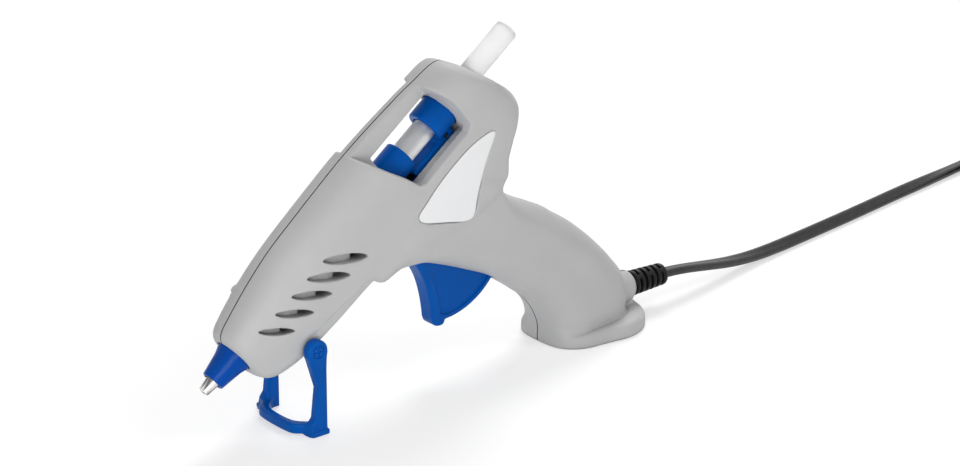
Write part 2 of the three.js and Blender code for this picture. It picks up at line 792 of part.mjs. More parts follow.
// Steel nozzle with a hexagon and a thread
function nozzle() {
  const hexEnd = hexStart + nozzleHexLength;
  const threadEnd = hexEnd + nozzleThreadLength;
  const wide = nozzleBore * 2;
  return turned([
    [0, nozzleBore], [0, tipRadius], [nozzleTaper, nozzleRadius], [hexStart, nozzleRadius],
    [hexStart, nozzleHexRadius], [hexEnd, nozzleHexRadius], [hexEnd, nozzleThread],
    [threadEnd, nozzleThread], [threadEnd, wide], [nozzleTaper, wide], [nozzleTaper / 2, nozzleBore],
    [0, nozzleBore],
  ], 18);
}

// Heat-proof sleeve over the nozzle, flared where it enters the nose
const sleeveFlareShare = 0.72;

function nozzleSleeve() {
  const bore = nozzleRadius + gap;
  const base = sleeveStart + sleeveBaseAt;
  const middle = (sleeveFrontRadius + sleeveBaseRadius) / 2;
  return turned([
    [sleeveStart, bore], [sleeveStart, sleeveFrontRadius - gap], [sleeveStart + gap, sleeveFrontRadius],
    [sleeveStart + sleeveBaseAt * sleeveFlareShare, middle + gap], [base - gap * 2, sleeveBaseRadius],
    [sleeveEnd, sleeveBaseRadius], [sleeveEnd, bore], [sleeveStart, bore],
  ], 24);
}

const stickBore = stickRadius + stickClear;
const stackGaps = 6;
const slotDepth = heaterThickness + 2 * (plateThickness + filmThickness) + stackGaps * gap;
const slotHalf = heaterHalf + filmThickness + gap * 3;

// Aluminium chamber that melts the stick, with a block for the heater below
function meltChamber() {
  const threadBore = nozzleThread + gap;
  const threadTo = chamberStart + nozzleThreadLength + gap * 4;
  const boreFrom = stickFront - feedStroke - gap * 2;
  const bodyFrom = chamberStart + chamberNeckLength;
  const spigotFrom = chamberEnd - spigotLength;
  const shell = turned([
    [chamberStart, threadBore], [chamberStart, flangeRadius],
    [chamberStart + flangeThickness, flangeRadius], [chamberStart + flangeThickness, chamberNeck],
    [bodyFrom, chamberNeck], [bodyFrom, chamberRadius],
    [spigotFrom - flangeThickness, chamberRadius], [spigotFrom - flangeThickness, flangeRadius],
    [spigotFrom, flangeRadius], [spigotFrom, spigotRadius],
    [chamberEnd, spigotRadius], [chamberEnd, stickBore],
    [boreFrom, stickBore], [threadTo, nozzleBore * 2], [threadTo, threadBore],
    [chamberStart, threadBore],
  ], 24);
  const holder = block([blockFrom, -blockHalf, -blockDepth], [blockTo, blockHalf, 0]);
  const bore = rod(blockFrom - overrun, blockTo + overrun, stickBore, 24);
  const slot = block(
    [blockFrom - overrun, -slotHalf, -slotTop - slotDepth],
    [blockTo + overrun, slotHalf, -slotTop],
  );
  return join(shell, cut(holder, bore, slot));
}

// Insulating film wrapped round the heater and its plates
function heaterFilm() {
  const length = heaterLength + plateTab / 2;
  const from = blockTo - length;
  const outer = block(
    [from, -slotHalf + gap, -slotTop - slotDepth + gap],
    [blockTo, slotHalf - gap, -slotTop - gap],
  );
  const inner = block(
    [from - overrun, -heaterHalf - gap, -slotTop - slotDepth + gap + filmThickness],
    [blockTo + overrun, heaterHalf + gap, -slotTop - gap - filmThickness],
  );
  return cut(outer, inner);
}

const heaterFrom = blockTo - heaterLength;
const heaterTop = slotTop + filmThickness + plateThickness + gap * 3;
const heaterTablet = () => block(
  [heaterFrom, -heaterHalf, -heaterTop - heaterThickness],
  [blockTo - gap, heaterHalf, -heaterTop],
);

// Contact plate with a tab that takes its lead, as shares of the heater's half width
const tabShares = { inner: 0.35, middle: 0.68 };

function contactPlate(top, side) {
  const sheet = block([heaterFrom, -heaterHalf, -top - plateThickness], [blockTo - gap, heaterHalf, -top]);
  const inner = side * heaterHalf * tabShares.inner;
  const outer = side * heaterHalf;
  const tab = block(
    [blockTo - wall, Math.min(inner, outer), -top - plateThickness],
    [blockTo + plateTab, Math.max(inner, outer), -top],
  );
  return join(sheet, tab);
}

const upperPlateTop = heaterTop - gap - plateThickness;
const lowerPlateTop = heaterTop + heaterThickness + gap;

// Spring-steel clip that grips the heater block
function heaterClip() {
  const inside = blockHalf + gap;
  const middle = (blockFrom + blockTo) / 2;
  const outer = block(
    [middle - clipLength / 2, -inside - clipThickness, -blockDepth - gap - clipThickness],
    [middle + clipLength / 2, inside + clipThickness, -blockDepth - gap + clipRise],
  );
  const hollow = block(
    [middle - clipLength, -inside, -blockDepth - gap],
    [middle + clipLength, inside, overrun],
  );
  return cut(outer, hollow);
}

// Silicone sleeve that leads the stick into the chamber
const inletSleeve = () => turned([
  [inletStart, spigotRadius + gap], [inletStart, inletRadius], [inletEnd, inletRadius],
  [inletEnd, stickBore], [chamberEnd + gap, stickBore], [chamberEnd + gap, spigotRadius + gap],
  [inletStart, spigotRadius + gap],
], 20);

function sleeveClamp() {
  const from = inletStart + clampWidth / 2;
  const inside = inletRadius + gap;
  const band = tube(from, from + clampWidth, inside, inside + clampBand, 20);
  const ear = block(
    [from, -clampBand, inside + clampBand / 2],
    [from + clampWidth, clampBand, inside + clampBand * 4],
  );
  return join(band, ear);
}

// Collar in the front of the window
const inletCollar = () => turned([
  [collarStart, inletRadius + gap], [collarStart, collarFlangeRadius],
  [collarStart + collarFlangeLength, collarFlangeRadius], [collarStart + collarFlangeLength, collarRadius],
  [collarEnd, collarRadius], [collarEnd, stickBore], [collarStart + socketDepth, stickBore],
  [collarStart + socketDepth, inletRadius + gap], [collarStart, inletRadius + gap],
], 28);

// Sliding carriage: ring round the stick, bar below it, tongue under the window floor
function feedCarriage() {
  const ring = tube(ringStart, ringEnd, stickBore, ringRadius, 28);
  const bar = block(
    [ringStart - barReach, -barHalf, -windowFloor + gap],
    [windowRear - wall, barHalf, -barTop],
  );
  const neck = block([neckFront, -tongueHalf, -tongueDepth], [tongueEnd, tongueHalf, -barTop]);
  const toe = block(
    [drivePinAt - toeReach, -tongueHalf, -tongueDepth],
    [tongueEnd, tongueHalf, -tongueToe],
  );
  const notch = block(
    [ringStart + gap * 3, -jawHalf - gap, -windowFloor],
    [windowRear - wall + gap, jawHalf + gap, -stickRadius],
  );
  const way = rod(ringStart - barReach - overrun, ringEnd, stickBore, 28);
  const pinHole = crossRod(drivePinAt, -drivePinDepth, drivePinRadius + gap, -far, far);
  const jawHole = crossRod(ringStart + jawSetback, -jawPinDepth, jawPinRadius + gap, -far, far, 10);
  return cut(join(ring, bar, neck, toe), notch, way, pinHole, jawHole);
}

const drivePin = () => crossRod(drivePinAt, -drivePinDepth, drivePinRadius, -armHalf - gap, armHalf + gap);
const jawPin = () => crossRod(ringStart + jawSetback, -jawPinDepth, jawPinRadius, -barHalf, barHalf, 10);

// Toothed jaw that bites the stick from below, drawn about its pin:
// along as shares of its front reach, across as shares of its tooth height
const jawShares = { rear: 0.87, slope: -0.3, slopeRise: 0.9, tooth: -0.8 };

function clampJaw() {
  const front = jawReach;
  const tooth = jawPinDepth - stickRadius - jawClear;
  const foot = windowFloor - jawPinDepth - jawClear;
  const rear = front * jawShares.rear;
  const outline = [
    [-front, -foot], [rear, -foot], [rear, tooth / 2], [front * jawShares.slope, tooth * jawShares.slopeRise],
    [front * jawShares.tooth, tooth], [-front, tooth / 2],
  ];
  return cut(prism(outline, -jawHalf, jawHalf), crossRod(0, 0, jawPinRadius + gap, -far, far, 10));
}

const glueStick = () => rod(stickFront, bodyEnd + stickProud, stickRadius, 20);

// Extension spring along the barrel that draws the carriage back
function returnSpring() {
  const steps = springTurns * 8;
  const reach = springLength - springWire * 2;
  const from = tongueEnd + gap + springWire;
  const ring = (i) => {
    const turn = (i / 8) * Math.PI * 2;
    const centre = new THREE.Vector3(from + (reach * i) / steps,
      springRadius * Math.cos(turn), springRadius * Math.sin(turn) - drivePinDepth);
    const out = new THREE.Vector3(0, Math.cos(turn), Math.sin(turn));
    return Array.from({ length: 5 }, (_, k) => {
      const round = (k / 5) * Math.PI * 2;
      const point = centre.clone().addScaledVector(out, springWire * Math.cos(round));
      point.x += springWire * Math.sin(round);
      return point;
    });
  };
  return skin(Array.from({ length: steps + 1 }, (_, i) => ring(i)));
}

// Trigger blade about its pin: front roll, thin web, rim along the arc, forked arm
const rollShares = [
  [-0.43, -0.12], [-0.36, -0.24], [-0.265, -0.42], [-0.195, -0.65], [-0.155, -0.87],
  [-0.125, -0.985], [-0.075, -1.045], [-0.02, -1.06], [0.01, -1.045], [0.03, -1.005],
];
const webShares = [[-0.16, -0.36], [-0.06, -0.69], [-0.03, -0.9]];
const webRootShares = [[0.1, -0.24]];
const crownShares = [[0.62, -0.31], [0.24, -0.16], [-0.17, 0.04]];
const arcFrom = THREE.MathUtils.degToRad(-86);
const arcTo = THREE.MathUtils.degToRad(-33);
const arcSteps = 8;

const arcPoints = (radius, from, to) => Array.from({ length: arcSteps + 1 }, (_, i) => {
  const turn = from + ((to - from) * i) / arcSteps;
  return [radius * Math.cos(turn), radius * Math.sin(turn)];
});

function trigger() {
  const placed = (list) => list.map(([x, z]) => [x * triggerRadius, z * triggerRadius]);
  const blade = prism([
    ...placed(rollShares), ...arcPoints(triggerRadius, arcFrom, arcTo), ...placed(crownShares),
  ], -triggerHalf, triggerHalf);
  const hub = crossRod(0, 0, triggerHub, -triggerHalf, triggerHalf, 16);
  const web = prism([
    ...placed(webShares), ...arcPoints(triggerRadius - rimWidth, arcFrom, arcTo), ...placed(webRootShares),
  ], triggerHalf - webDepth, far);
  const arm = triggerArm();
  const bore = crossRod(0, 0, triggerPinRadius + gap, -far, far);
  return cut(join(cut(join(blade, hub), web, web.mirror([0, 1, 0])), arm), bore);
}

// Forked arm that pushes the carriage's drive pin
function triggerArm() {
  const rise = -drivePinDepth - pinInBarrel.z;
  const lean = Math.PI / 2 + barrelTilt - Math.atan2(feedStroke / 2, rise);
  const turnBy = (points) => points.map(([across, along]) => [
    along * Math.cos(lean) + across * Math.sin(lean),
    along * Math.sin(lean) - across * Math.cos(lean),
  ]);
  const strip = (half, from, to) => turnBy([[-half, from], [half, from], [half, to], [-half, to]]);
  const half = drivePinRadius + drivePinClear;
  const reach = rise + armTip;
  const stem = prism(strip(armSpread, 0, reach), -armHalf, armHalf);
  const mouth = prism(strip(half, rise - half - gap, reach * 2), -far, far);
  const cleft = prism(strip(armSpread * 2, triggerHub + armRoot, reach * 2), -armSlot, armSlot);
  return cut(stem, mouth, cleft);
}

// Stand about its pivot: two legs with eyes, a bowed crossbar and two foot pads
const legShares = [
  [0.124, -0.02], [0.113, -0.24], [0.111, -1], [-0.135, -1], [-0.101, -0.855], [-0.053, -0.795],
  [-0.01, -0.44], [-0.07, -0.24], [-0.127, -0.05],
];

function stand() {
  const legOuter = legInner + legThickness;
  const outline = legShares.map(([x, z]) => [x * standAt.z, z * standAt.z]);
  const leg = join(
    prism(outline, -legOuter, -legInner),
    crossRod(0, 0, eyeRadius, -legOuter, -legInner, 18),
  );
  const pad = block(
    [-padLength / 2, -legOuter - padProud, -standAt.z],
    [padLength / 2, -legInner - legThickness / 2, -standAt.z + padHeight],
  );
  const socket = crossRod(0, 0, studRadius + gap, -legInner - studDepth - gap, 0);
  const side = cut(join(leg, pad), socket);
  return join(side, side.mirror([0, 1, 0]), crossbar(legOuter));
}

const crossbarShare = 0.092;

function crossbar(legOuter) {
  const bow = (y) => -crossbarShare * standAt.z - crossbarBow * (1 - (y / legOuter) ** 2);
  const rows = Array.from({ length: 9 }, (_, i) => -legOuter + (2 * legOuter * i) / 8);
  const outline = new THREE.Shape([
    ...rows.map((y) => new THREE.Vector2(bow(y), y)),
    ...rows.reverse().map((y) => new THREE.Vector2(bow(y) + crossbarDepth, y)),
  ]);
  const geometry = new THREE.ExtrudeGeometry(outline, { depth: crossbarHeight, bevelEnabled: false });
  geometry.translate(0, 0, crossbarLift - standAt.z);
  return solid(geometry);
}

const labelPlate = (side) => {
  const low = halfWidth - plateSheet + gap;
  const near = prism(labelOutline(0), -halfWidth - plateProud, -low);
  return side < 0 ? near : near.mirror([0, 1, 0]);
};

const housingScrew = (at) => join(
  crossRod(at.x, at.z, screwShank, gap * 2 - screwBite, wellDepth + gap * 2, 10),
  crossRod(at.x, at.z, screwHead, wellDepth + gap, wellDepth + gap + screwHeadHeight, 14),
);

const pinHalf = recessHalf - wall - gap;
const triggerPinBar = () => crossRod(0, 0, triggerPinRadius, -pinHalf, pinHalf);

// Ribbed strain relief with a flange that snaps behind the wall; each rib is a share of the pitch
const reliefShares = { ribbed: 0.84, rib: 0.68, valley: 0.76, end: 0.96, tip: 0.86, taper: 0.95 };

function strainRelief() {
  const flangeEnd = reliefWallStart - gap;
  const pitch = (reliefLength * reliefShares.ribbed) / reliefRibs;
  const ribs = Array.from({ length: reliefRibs }, (_, i) => {
    const from = reliefStart + pitch * i;
    const radius = reliefBaseRadius + ((reliefEndRadius - reliefBaseRadius) * i) / reliefRibs;
    const valley = radius - reliefRibDepth;
    return [
      [from, radius], [from + pitch * reliefShares.rib, radius],
      [from + pitch * reliefShares.valley, valley], [from + pitch * reliefShares.end, valley],
    ];
  }).flat();
  return turned([
    [flangeEnd - reliefFlangeLength, 0], [flangeEnd - reliefFlangeLength, reliefFlange],
    [flangeEnd, reliefFlange], [flangeEnd, reliefNeck], [reliefStart, reliefNeck],
    ...ribs, [reliefStart + reliefLength * reliefShares.tip, reliefEndRadius * reliefShares.taper],
    [reliefStart + reliefLength, cordWidth / 2 + gap], [reliefStart + reliefLength, 0],
  ], 16).translate([0, 0, cordRise]);
}

const reliefInner = reliefWallStart - gap - reliefFlangeLength;
const tailFrom = clampAt - clampLength / 2 - gap * 3;

function cordSection(half, halfTall, sides = 12) {
  return Array.from({ length: sides }, (_, k) => {
    const turn = ((k + 0.5) / sides) * Math.PI * 2;
    return new THREE.Vector2(half * Math.cos(turn), halfTall * Math.sin(turn));
  });
}

// The end of the cord held inside the grip
function cordTail() {
  const ring = (x) => cordSection(cordWidth / 2, cordHeight / 2)
    .map((p) => new THREE.Vector3(x, p.x, cordRise + p.y));
  return skin([ring(tailFrom), ring(reliefInner - gap)]);
}

function clampBar() {
  const low = cordWidth / 2 + gap;
  const reach = clampReach + clampPost;
  const bar = block(
    [clampAt - clampLength / 2, low, cordRise - reach],
    [clampAt + clampLength / 2, low + clampPlate, cordRise + reach],
  );
  const hole = (side) => crossRod(clampAt, cordRise + side * clampReach, clampScrew + gap, 0, far, 10);
  return cut(bar, hole(-1), hole(1));
}

function clampScrewPiece(side) {
  const head = cordWidth / 2 + clampPlate + gap * 2;
  const z = cordRise + side * clampReach;
  return join(
    crossRod(clampAt, z, clampScrew, -wellDepth, head + gap, 10),
    crossRod(clampAt, z, clampScrew * 2, head, head + clampScrew, 12),
  );
}

const crimpStart = tailFrom - gap - crimpLength;
const crimpSpread = crimpRadius + gap * 3;
const crimp = (side) => rod(crimpStart, tailFrom - gap, crimpRadius, 12)
  .translate([0, side * crimpSpread, cordRise]);

// Lead from its crimp up the grip, over the trigger pin and along the barrel to its plate, to pass
// the bosses: shares of the pin's reach and the grip's height, then of the way from the plate to
// the pin along the barrel and of the pin's depth below the axis
const leadGripShares = [[0.109, 0.364], [-0.062, 0.477], [-0.279, 0.602], [-0.527, 0.75], [-0.744, 0.898]];
const leadBarrelShares = [[1.33, 0.79], [1.05, 0.635], [0.7, 0.55], [0.535, 0.438], [0.367, 0.323]];
const leadTurnBack = 6.5;
const leadTurnOut = 5.5;
const leadTurnRise = 5.7;
const leadStraight = 2;

function lead(side, plateTop) {
  const middle = -plateTop - plateThickness / 2;
  const plateY = side * heaterHalf * tabShares.middle;
  const end = blockTo + plateTab + gap;
  const route = [
    [crimpStart - gap, side * crimpSpread, cordRise],
    [crimpStart - leadStraight, side * crimpSpread, cordRise],
    [crimpStart - leadTurnBack, side * leadTurnOut, cordRise + leadTurnRise],
    ...leadGripShares.map(([x, z]) => [triggerPinReach * x, side * leadOffset, gripHeight * z]),
    ...leadBarrelShares.map(([along, down]) => fromBarrel(
      end + (pinInBarrel.x - end) * along, pinInBarrel.z * down, side * leadOffset).toArray()),
    fromBarrel(end + leadStraight * 2, middle, plateY).toArray(),
    fromBarrel(end, middle, plateY).toArray(),
  ];
  return pipe(route, leadRadius, 6, 30);
}

// Route of the free cord from its relief to the start of its coil, chosen by hand
const cordRoute = [
  [0, 0, cordRise], [6.8, 0.3, 15], [15.8, 0.9, 13.8], [28.8, 2.1, 11.3], [42.8, 4, 8.3],
  [58.8, 6.5, 5.2], [76.8, 9.4, 3.2], [98.8, 12.4, 2.4], [129.8, 16.6, 2.4], [158.8, 21, 2.4],
  [188.8, 26, 2.4], [218.8, 31.2, 2.4], [248.8, 36, 2.5], [275.8, 39.6, 2.8],
  [coilStart[0] - cordWidth * 2, coilStart[1], coilLift],
  [coilStart[0] - cordWidth - gap, coilStart[1], coilLift],
];

function freeCord() {
  const section = new THREE.Shape(cordSection(cordHeight / 2, cordWidth / 2, 10));
  const points = cordRoute.map((p) => new THREE.Vector3(...p));
  const path = new THREE.CatmullRomCurve3(points, false, 'centripetal');
  return solid(new THREE.ExtrudeGeometry(section, { steps: 26, extrudePath: path, bevelEnabled: false }));
}

// Coil: in along the lower layer, up a layer, out along the upper one, then a straight tail
const coilReach = (coilPitch * coilTurns) / 4;
const coilCentre = [coilStart[0], coilStart[1] - coilRadius - coilReach];

// The climb takes a quarter turn each side of the middle; the tail drops to the plug over its length
const climbShare = 0.25;
const tailShares = [0.3, 0.6, 0.85, 1];
const dropShare = 0.9;

function coilPlace(step) {
  const turns = step / coilSteps;
  const half = coilTurns / 2;
  const climb = THREE.MathUtils.smoothstep(turns, half - climbShare, half + climbShare);
  const inward = turns < half ? turns : coilTurns - turns;
  const radius = coilRadius + coilReach - inward * coilPitch;
  const angle = Math.PI / 2 - turns * Math.PI * 2;
  return new THREE.Vector3(
    coilCentre[0] + radius * Math.cos(angle),
    coilCentre[1] + radius * Math.sin(angle),
    coilLift + coilRise * climb,
  );
}

function coilPath() {
  const first = coilPlace(0);
  const leadIn = first.clone().add(new THREE.Vector3(-cordWidth, 0, 0));
  const wound = Array.from({ length: coilTurns * coilSteps + 1 }, (_, i) => coilPlace(i));
  const end = wound[wound.length - 1];
  const drop = coilLift + coilRise - plugHalfHeight;
  const tail = tailShares.map((share) => new THREE.Vector3(
    end.x + tailLength * share, end.y, end.z - drop * THREE.MathUtils.smoothstep(share, 0, dropShare)));
  return [leadIn, ...wound, ...tail];
}

function cordCoil() {
  const path = coilPath();
  const up = new THREE.Vector3(0, 0, 1);
  const last = path.length - 1;
  const rings = path.map((point, i) => {
    const chord = path[Math.min(i + 1, last)].clone().sub(path[Math.max(i - 1, 0)]).normalize();
    const along = i === 0 || i === last ? new THREE.Vector3(1, 0, 0) : chord;
    const side = new THREE.Vector3().crossVectors(up, along).normalize();
    const top = new THREE.Vector3().crossVectors(along, side);
    return cordSection(cordWidth / 2, cordHeight / 2, 6)
      .map((p) => point.clone().addScaledVector(side, p.x).addScaledVector(top, p.y));
  });
  console.log('least gap of the coil to itself', leastGap(rings).toFixed(2), 'mm');
  return skin(rings);
}

// Least gap between turns, measured between section points more than half a turn apart
function leastGap(rings) {
  let least = Infinity;
  rings.forEach((ring, i) => {
    rings.slice(i + coilSteps / 2).forEach((other) => {
      if (ring[0].distanceTo(other[0]) > cordWidth * 3) return;
      ring.forEach((p) => other.forEach((q) => {
        least = Math.min(least, p.distanceTo(q));
      }));
    });
  });
  return least;
}

// Tie round all the turns, opposite the plug
function cordTie() {
  const inner = coilRadius - coilPitch - cordWidth / 2 - gap;
  const outer = coilRadius + coilPitch + cordWidth / 2 + gap;
  const low = coilLift - cordHeight / 2 - gap;
  const high = coilLift + coilRise + cordHeight / 2 + gap;
  const band = cut(
    block(
      [inner - tieThickness, -tieWidth / 2, low - tieThickness],
      [outer + tieThickness, tieWidth / 2, high + tieThickness],
    ),
    block([inner, -tieWidth, low], [outer, tieWidth, high]),
  );
  return band.rotate([0, 0, -90]).translate([...coilCentre, 0]);
}

// Flat moulded plug with two round pins
const plugStart = coilStart[0] + tailLength + gap;

// Shares of the plug's length and half width along its flared outline
const plugShares = {
  waist: 0.42, neck: 0.3, hip: 0.42, hipWide: 0.86, wide: 0.5, flat: 0.66, face: 0.82, bevel: 0.3,
};

function plugBody() {
  const along = (share) => plugLength * share;
  const out = (share) => plugHalfWidth * share;
  const { waist, neck, hip, hipWide, wide, flat, face } = plugShares;
  const outline = new THREE.Shape();
  outline.moveTo(0, -out(waist));
  outline.quadraticCurveTo(along(neck), -out(waist), along(hip), -out(hipWide));
  outline.quadraticCurveTo(along(wide), -out(1), along(flat), -out(1));
  outline.lineTo(plugLength, -out(face));
  outline.lineTo(plugLength, out(face));
  outline.lineTo(along(flat), out(1));
  outline.quadraticCurveTo(along(wide), out(1), along(hip), out(hipWide));
  outline.quadraticCurveTo(along(neck), out(waist), 0, out(waist));
  const bevel = plugHalfHeight * plugShares.bevel;
  const geometry = new THREE.ExtrudeGeometry(outline, {
    depth: plugHalfHeight * 2 - bevel * 2, bevelEnabled: true, bevelSize: bevel, bevelThickness: bevel,
    bevelOffset: -bevel, bevelSegments: 2, curveSegments: 4,
  });
  geometry.translate(0, 0, bevel);
  const seat = (y) => rod(plugLength - plugPinRadius * 2, plugLength + overrun, plugPinRadius + gap, 12)
    .translate([0, y, plugHalfHeight]);
  return cut(solid(geometry), ...plugPins().map(seat));
}

const plugPins = () => [-plugPinSpacing / 2, plugPinSpacing / 2];
const plugPin = (y) => turned([
  [plugLength - plugPinRadius * 2 + gap, 0], [plugLength - plugPinRadius * 2 + gap, plugPinRadius],
  [plugLength + plugPinLength - plugPinRadius / 2, plugPinRadius],
  [plugLength + plugPinLength, plugPinRadius / 2], [plugLength + plugPinLength, 0],
], 12).translate([0, y, plugHalfHeight]);

function place(group, position, turn = 0) {
  group.position.copy(position);
  group.rotation.y = turn;
  return group;
}

// Assembly: the gun, then the free cord with what is on it
const gun = new THREE.Group();
const cord = place(new THREE.Group(), new THREE.Vector3(reliefStart + reliefLength + gap, 0, 0));
const barrel = place(new THREE.Group(), tip, -barrelTilt);
const triggerGroup = place(new THREE.Group(), triggerPin);
const standGroup = place(new THREE.Group(), standAt);
const jawGroup = place(new THREE.Group(), new THREE.Vector3(ringStart + jawSetback, 0, -jawPinDepth));
const plugGroup = place(new THREE.Group(), new THREE.Vector3(plugStart, coilStart[1], 0));

const [leftShell, rightShell] = housing();
gun.add(
  piece('left_shell', leftShell, finish.housing),
  piece('right_shell', rightShell, finish.housing),
  piece('label_plate_left', labelPlate(-1), finish.plate),
  piece('label_plate_right', labelPlate(1), finish.plate),
  ...screwPlaces.map((at, i) => piece(`housing_screw_${i + 1}`, housingScrew(at), finish.steel)),
  piece('strain_relief', strainRelief(), finish.rubber),
  piece('cord_tail', cordTail(), finish.rubber),
  piece('cord_clamp', clampBar(), finish.housing),
  piece('cord_clamp_screw_1', clampScrewPiece(-1), finish.steel),
  piece('cord_clamp_screw_2', clampScrewPiece(1), finish.steel),
  piece('live_crimp', crimp(1), finish.brass),
  piece('neutral_crimp', crimp(-1), finish.brass),
  piece('live_lead', lead(1, upperPlateTop), finish.live),
  piece('neutral_lead', lead(-1, lowerPlateTop), finish.neutral),
);
barrel.add(
  piece('nozzle', nozzle(), finish.steel),
  piece('nozzle_sleeve', nozzleSleeve(), finish.sleeve),
  piece('melt_chamber', meltChamber(), finish.aluminium),
  piece('heater_film', heaterFilm(), finish.film),
  piece('heater_tablet', heaterTablet(), finish.ceramic),
  piece('contact_plate_upper', contactPlate(upperPlateTop, 1), finish.brass),
  piece('contact_plate_lower', contactPlate(lowerPlateTop, -1), finish.brass),
  piece('heater_clip', heaterClip(), finish.steel),
  piece('inlet_sleeve', inletSleeve(), finish.silicone),
  piece('sleeve_clamp', sleeveClamp(), finish.steel),
  piece('inlet_collar', inletCollar(), finish.blue),
  piece('feed_carriage', feedCarriage(), finish.blue),
  piece('drive_pin', drivePin(), finish.steel),
  piece('jaw_pin', jawPin(), finish.steel),
  piece('return_spring', returnSpring(), finish.steel),
  piece('glue_stick', glueStick(), finish.glue),
);
jawGroup.add(piece('clamp_jaw', clampJaw(), finish.blue));
barrel.add(jawGroup);
triggerGroup.add(
  piece('trigger', trigger(), finish.blue),
  piece('trigger_pin', triggerPinBar(), finish.steel),
);
standGroup.add(piece('stand', stand(), finish.blue));
gun.add(barrel, triggerGroup, standGroup);

plugGroup.add(
  piece('plug_body', plugBody(), finish.rubber),
  ...plugPins().map((y, i) => piece(`plug_pin_${i + 1}`, plugPin(y), finish.brass)),
);
cord.add(
  piece('mains_cord', freeCord(), finish.rubber),
  piece('cord_coil', cordCoil(), finish.rubber),
  piece('cord_tie', cordTie(), finish.rubber),
  plugGroup,
);

// The origin is under the middle of the gun, without its free cord
const box = new THREE.Box3().setFromObject(gun, true);
const applicator = new THREE.Group();
applicator.add(gun, cord);
applicator.position.set(-(box.min.x + box.max.x) / 2, -(box.min.y + box.max.y) / 2, -box.min.z);
console.log('shift along X to the origin', applicator.position.x.toFixed(3), 'mm');

export default applicator;
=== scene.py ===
"""The looks of a hot glue applicator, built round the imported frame.

Lengths are in millimetres in the row frame until a mesh is made, which is in metres.
A solid is written as a field: signed distances on a box of points, negative inside.
"""
import json
import math

import bpy
import numpy as np
import openvdb
from mathutils import Matrix, Vector


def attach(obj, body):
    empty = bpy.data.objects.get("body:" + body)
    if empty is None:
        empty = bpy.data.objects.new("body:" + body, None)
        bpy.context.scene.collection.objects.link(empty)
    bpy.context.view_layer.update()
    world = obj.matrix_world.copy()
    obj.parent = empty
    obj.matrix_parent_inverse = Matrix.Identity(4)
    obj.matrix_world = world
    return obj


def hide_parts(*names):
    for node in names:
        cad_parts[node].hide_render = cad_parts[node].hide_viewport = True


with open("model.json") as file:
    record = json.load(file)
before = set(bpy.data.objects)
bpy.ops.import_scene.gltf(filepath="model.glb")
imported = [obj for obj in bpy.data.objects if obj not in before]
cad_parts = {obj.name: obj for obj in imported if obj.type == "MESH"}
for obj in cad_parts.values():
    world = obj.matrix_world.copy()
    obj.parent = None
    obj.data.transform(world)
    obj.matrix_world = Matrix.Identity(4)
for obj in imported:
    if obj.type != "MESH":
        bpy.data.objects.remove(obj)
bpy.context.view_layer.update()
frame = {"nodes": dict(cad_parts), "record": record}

MM = 0.001
GAP = 0.3
WALL = 2.5
SHIFT = 59.4123
TILT = math.radians(37.72)
ALONG = np.array([math.cos(TILT), 0.0, math.sin(TILT)])
ACROSS = np.array([-math.sin(TILT), 0.0, math.cos(TILT)])
BARREL_AT = np.array([-138.7828, 0.0, 27.904])
TRIGGER_AT = np.array([-5.0877, 0.0, 68.4])
STAND_AT = np.array([-89.7832, 0.0, 41.5044])
FAR = 60.0


# Camera at the photograph's angle
CAMERA_AT = (-819.044, -1038.228, 581.420)
AZIMUTH, ELEVATION = math.radians(-39), math.radians(21.1)
LENS, SENSOR = 112.5, 36


def add_object(name, data):
    thing = bpy.data.objects.new(name, data)
    bpy.context.scene.collection.objects.link(thing)
    return thing


def set_up(thing, at, way):
    """The camera or lamp goes to a place, in metres, and looks a way."""
    thing.location = at
    thing.rotation_mode = "QUATERNION"
    thing.rotation_quaternion = way.to_track_quat("-Z", "Y")


def make_camera():
    data = bpy.data.cameras.new("photo_camera")
    data.lens, data.sensor_width, data.sensor_fit = LENS, SENSOR, "HORIZONTAL"
    data.clip_end = 20
    camera = add_object("photo_camera", data)
    level = math.cos(ELEVATION)
    back = Vector((math.sin(AZIMUTH) * level, -math.cos(AZIMUTH) * level, math.sin(ELEVATION)))
    set_up(camera, Vector(CAMERA_AT) * MM, -back)
    bpy.context.scene.camera = camera


# Meshes
def make_piece(name, points, faces):
    """An object from points in millimetres; faces is a list of any faces or an array of quads."""
    mesh = bpy.data.meshes.new(name)
    places = (np.asarray(points, float) * MM).astype(np.float32)
    sizes = np.array([len(f) for f in faces], np.int32)
    whole = isinstance(faces, np.ndarray)
    corners = faces.ravel() if whole else np.concatenate([np.ravel(f) for f in faces])
    starts = np.concatenate([[0], np.cumsum(sizes)[:-1]])
    mesh.vertices.add(len(places))
    mesh.vertices.foreach_set("co", places.ravel())
    mesh.loops.add(int(sizes.sum()))
    mesh.loops.foreach_set("vertex_index", corners.astype(np.int32))
    mesh.polygons.add(len(sizes))
    mesh.polygons.foreach_set("loop_start", starts.astype(np.int32))
    mesh.update(calc_edges=True)
    mesh.validate()
    return add_object(name, mesh)


def smooth(piece, angle=35):
    piece.data.shade_smooth()
    piece.data.set_sharp_from_angle(angle=math.radians(angle))
    return piece


def apply_modifier(piece, kind, **values):
    modifier = piece.modifiers.new(kind.lower(), kind)
    for key, value in values.items():
        setattr(modifier, key, value)
    bpy.context.view_layer.objects.active = piece
    with bpy.context.temp_override(object=piece, active_object=piece, selected_objects=[piece]):
        bpy.ops.object.modifier_apply(modifier=modifier.name)
    return piece


def quads_between(rows, count, closed=False):
    """Quads between rings that all have the same count. closed joins the last ring to the first."""
    quads = []
    for i in range(rows if closed else rows - 1):
        a, b = i * count, (i + 1) % rows * count
        quads += [(a + k, a + (k + 1) % count, b + (k + 1) % count, b + k) for k in range(count)]
    return quads


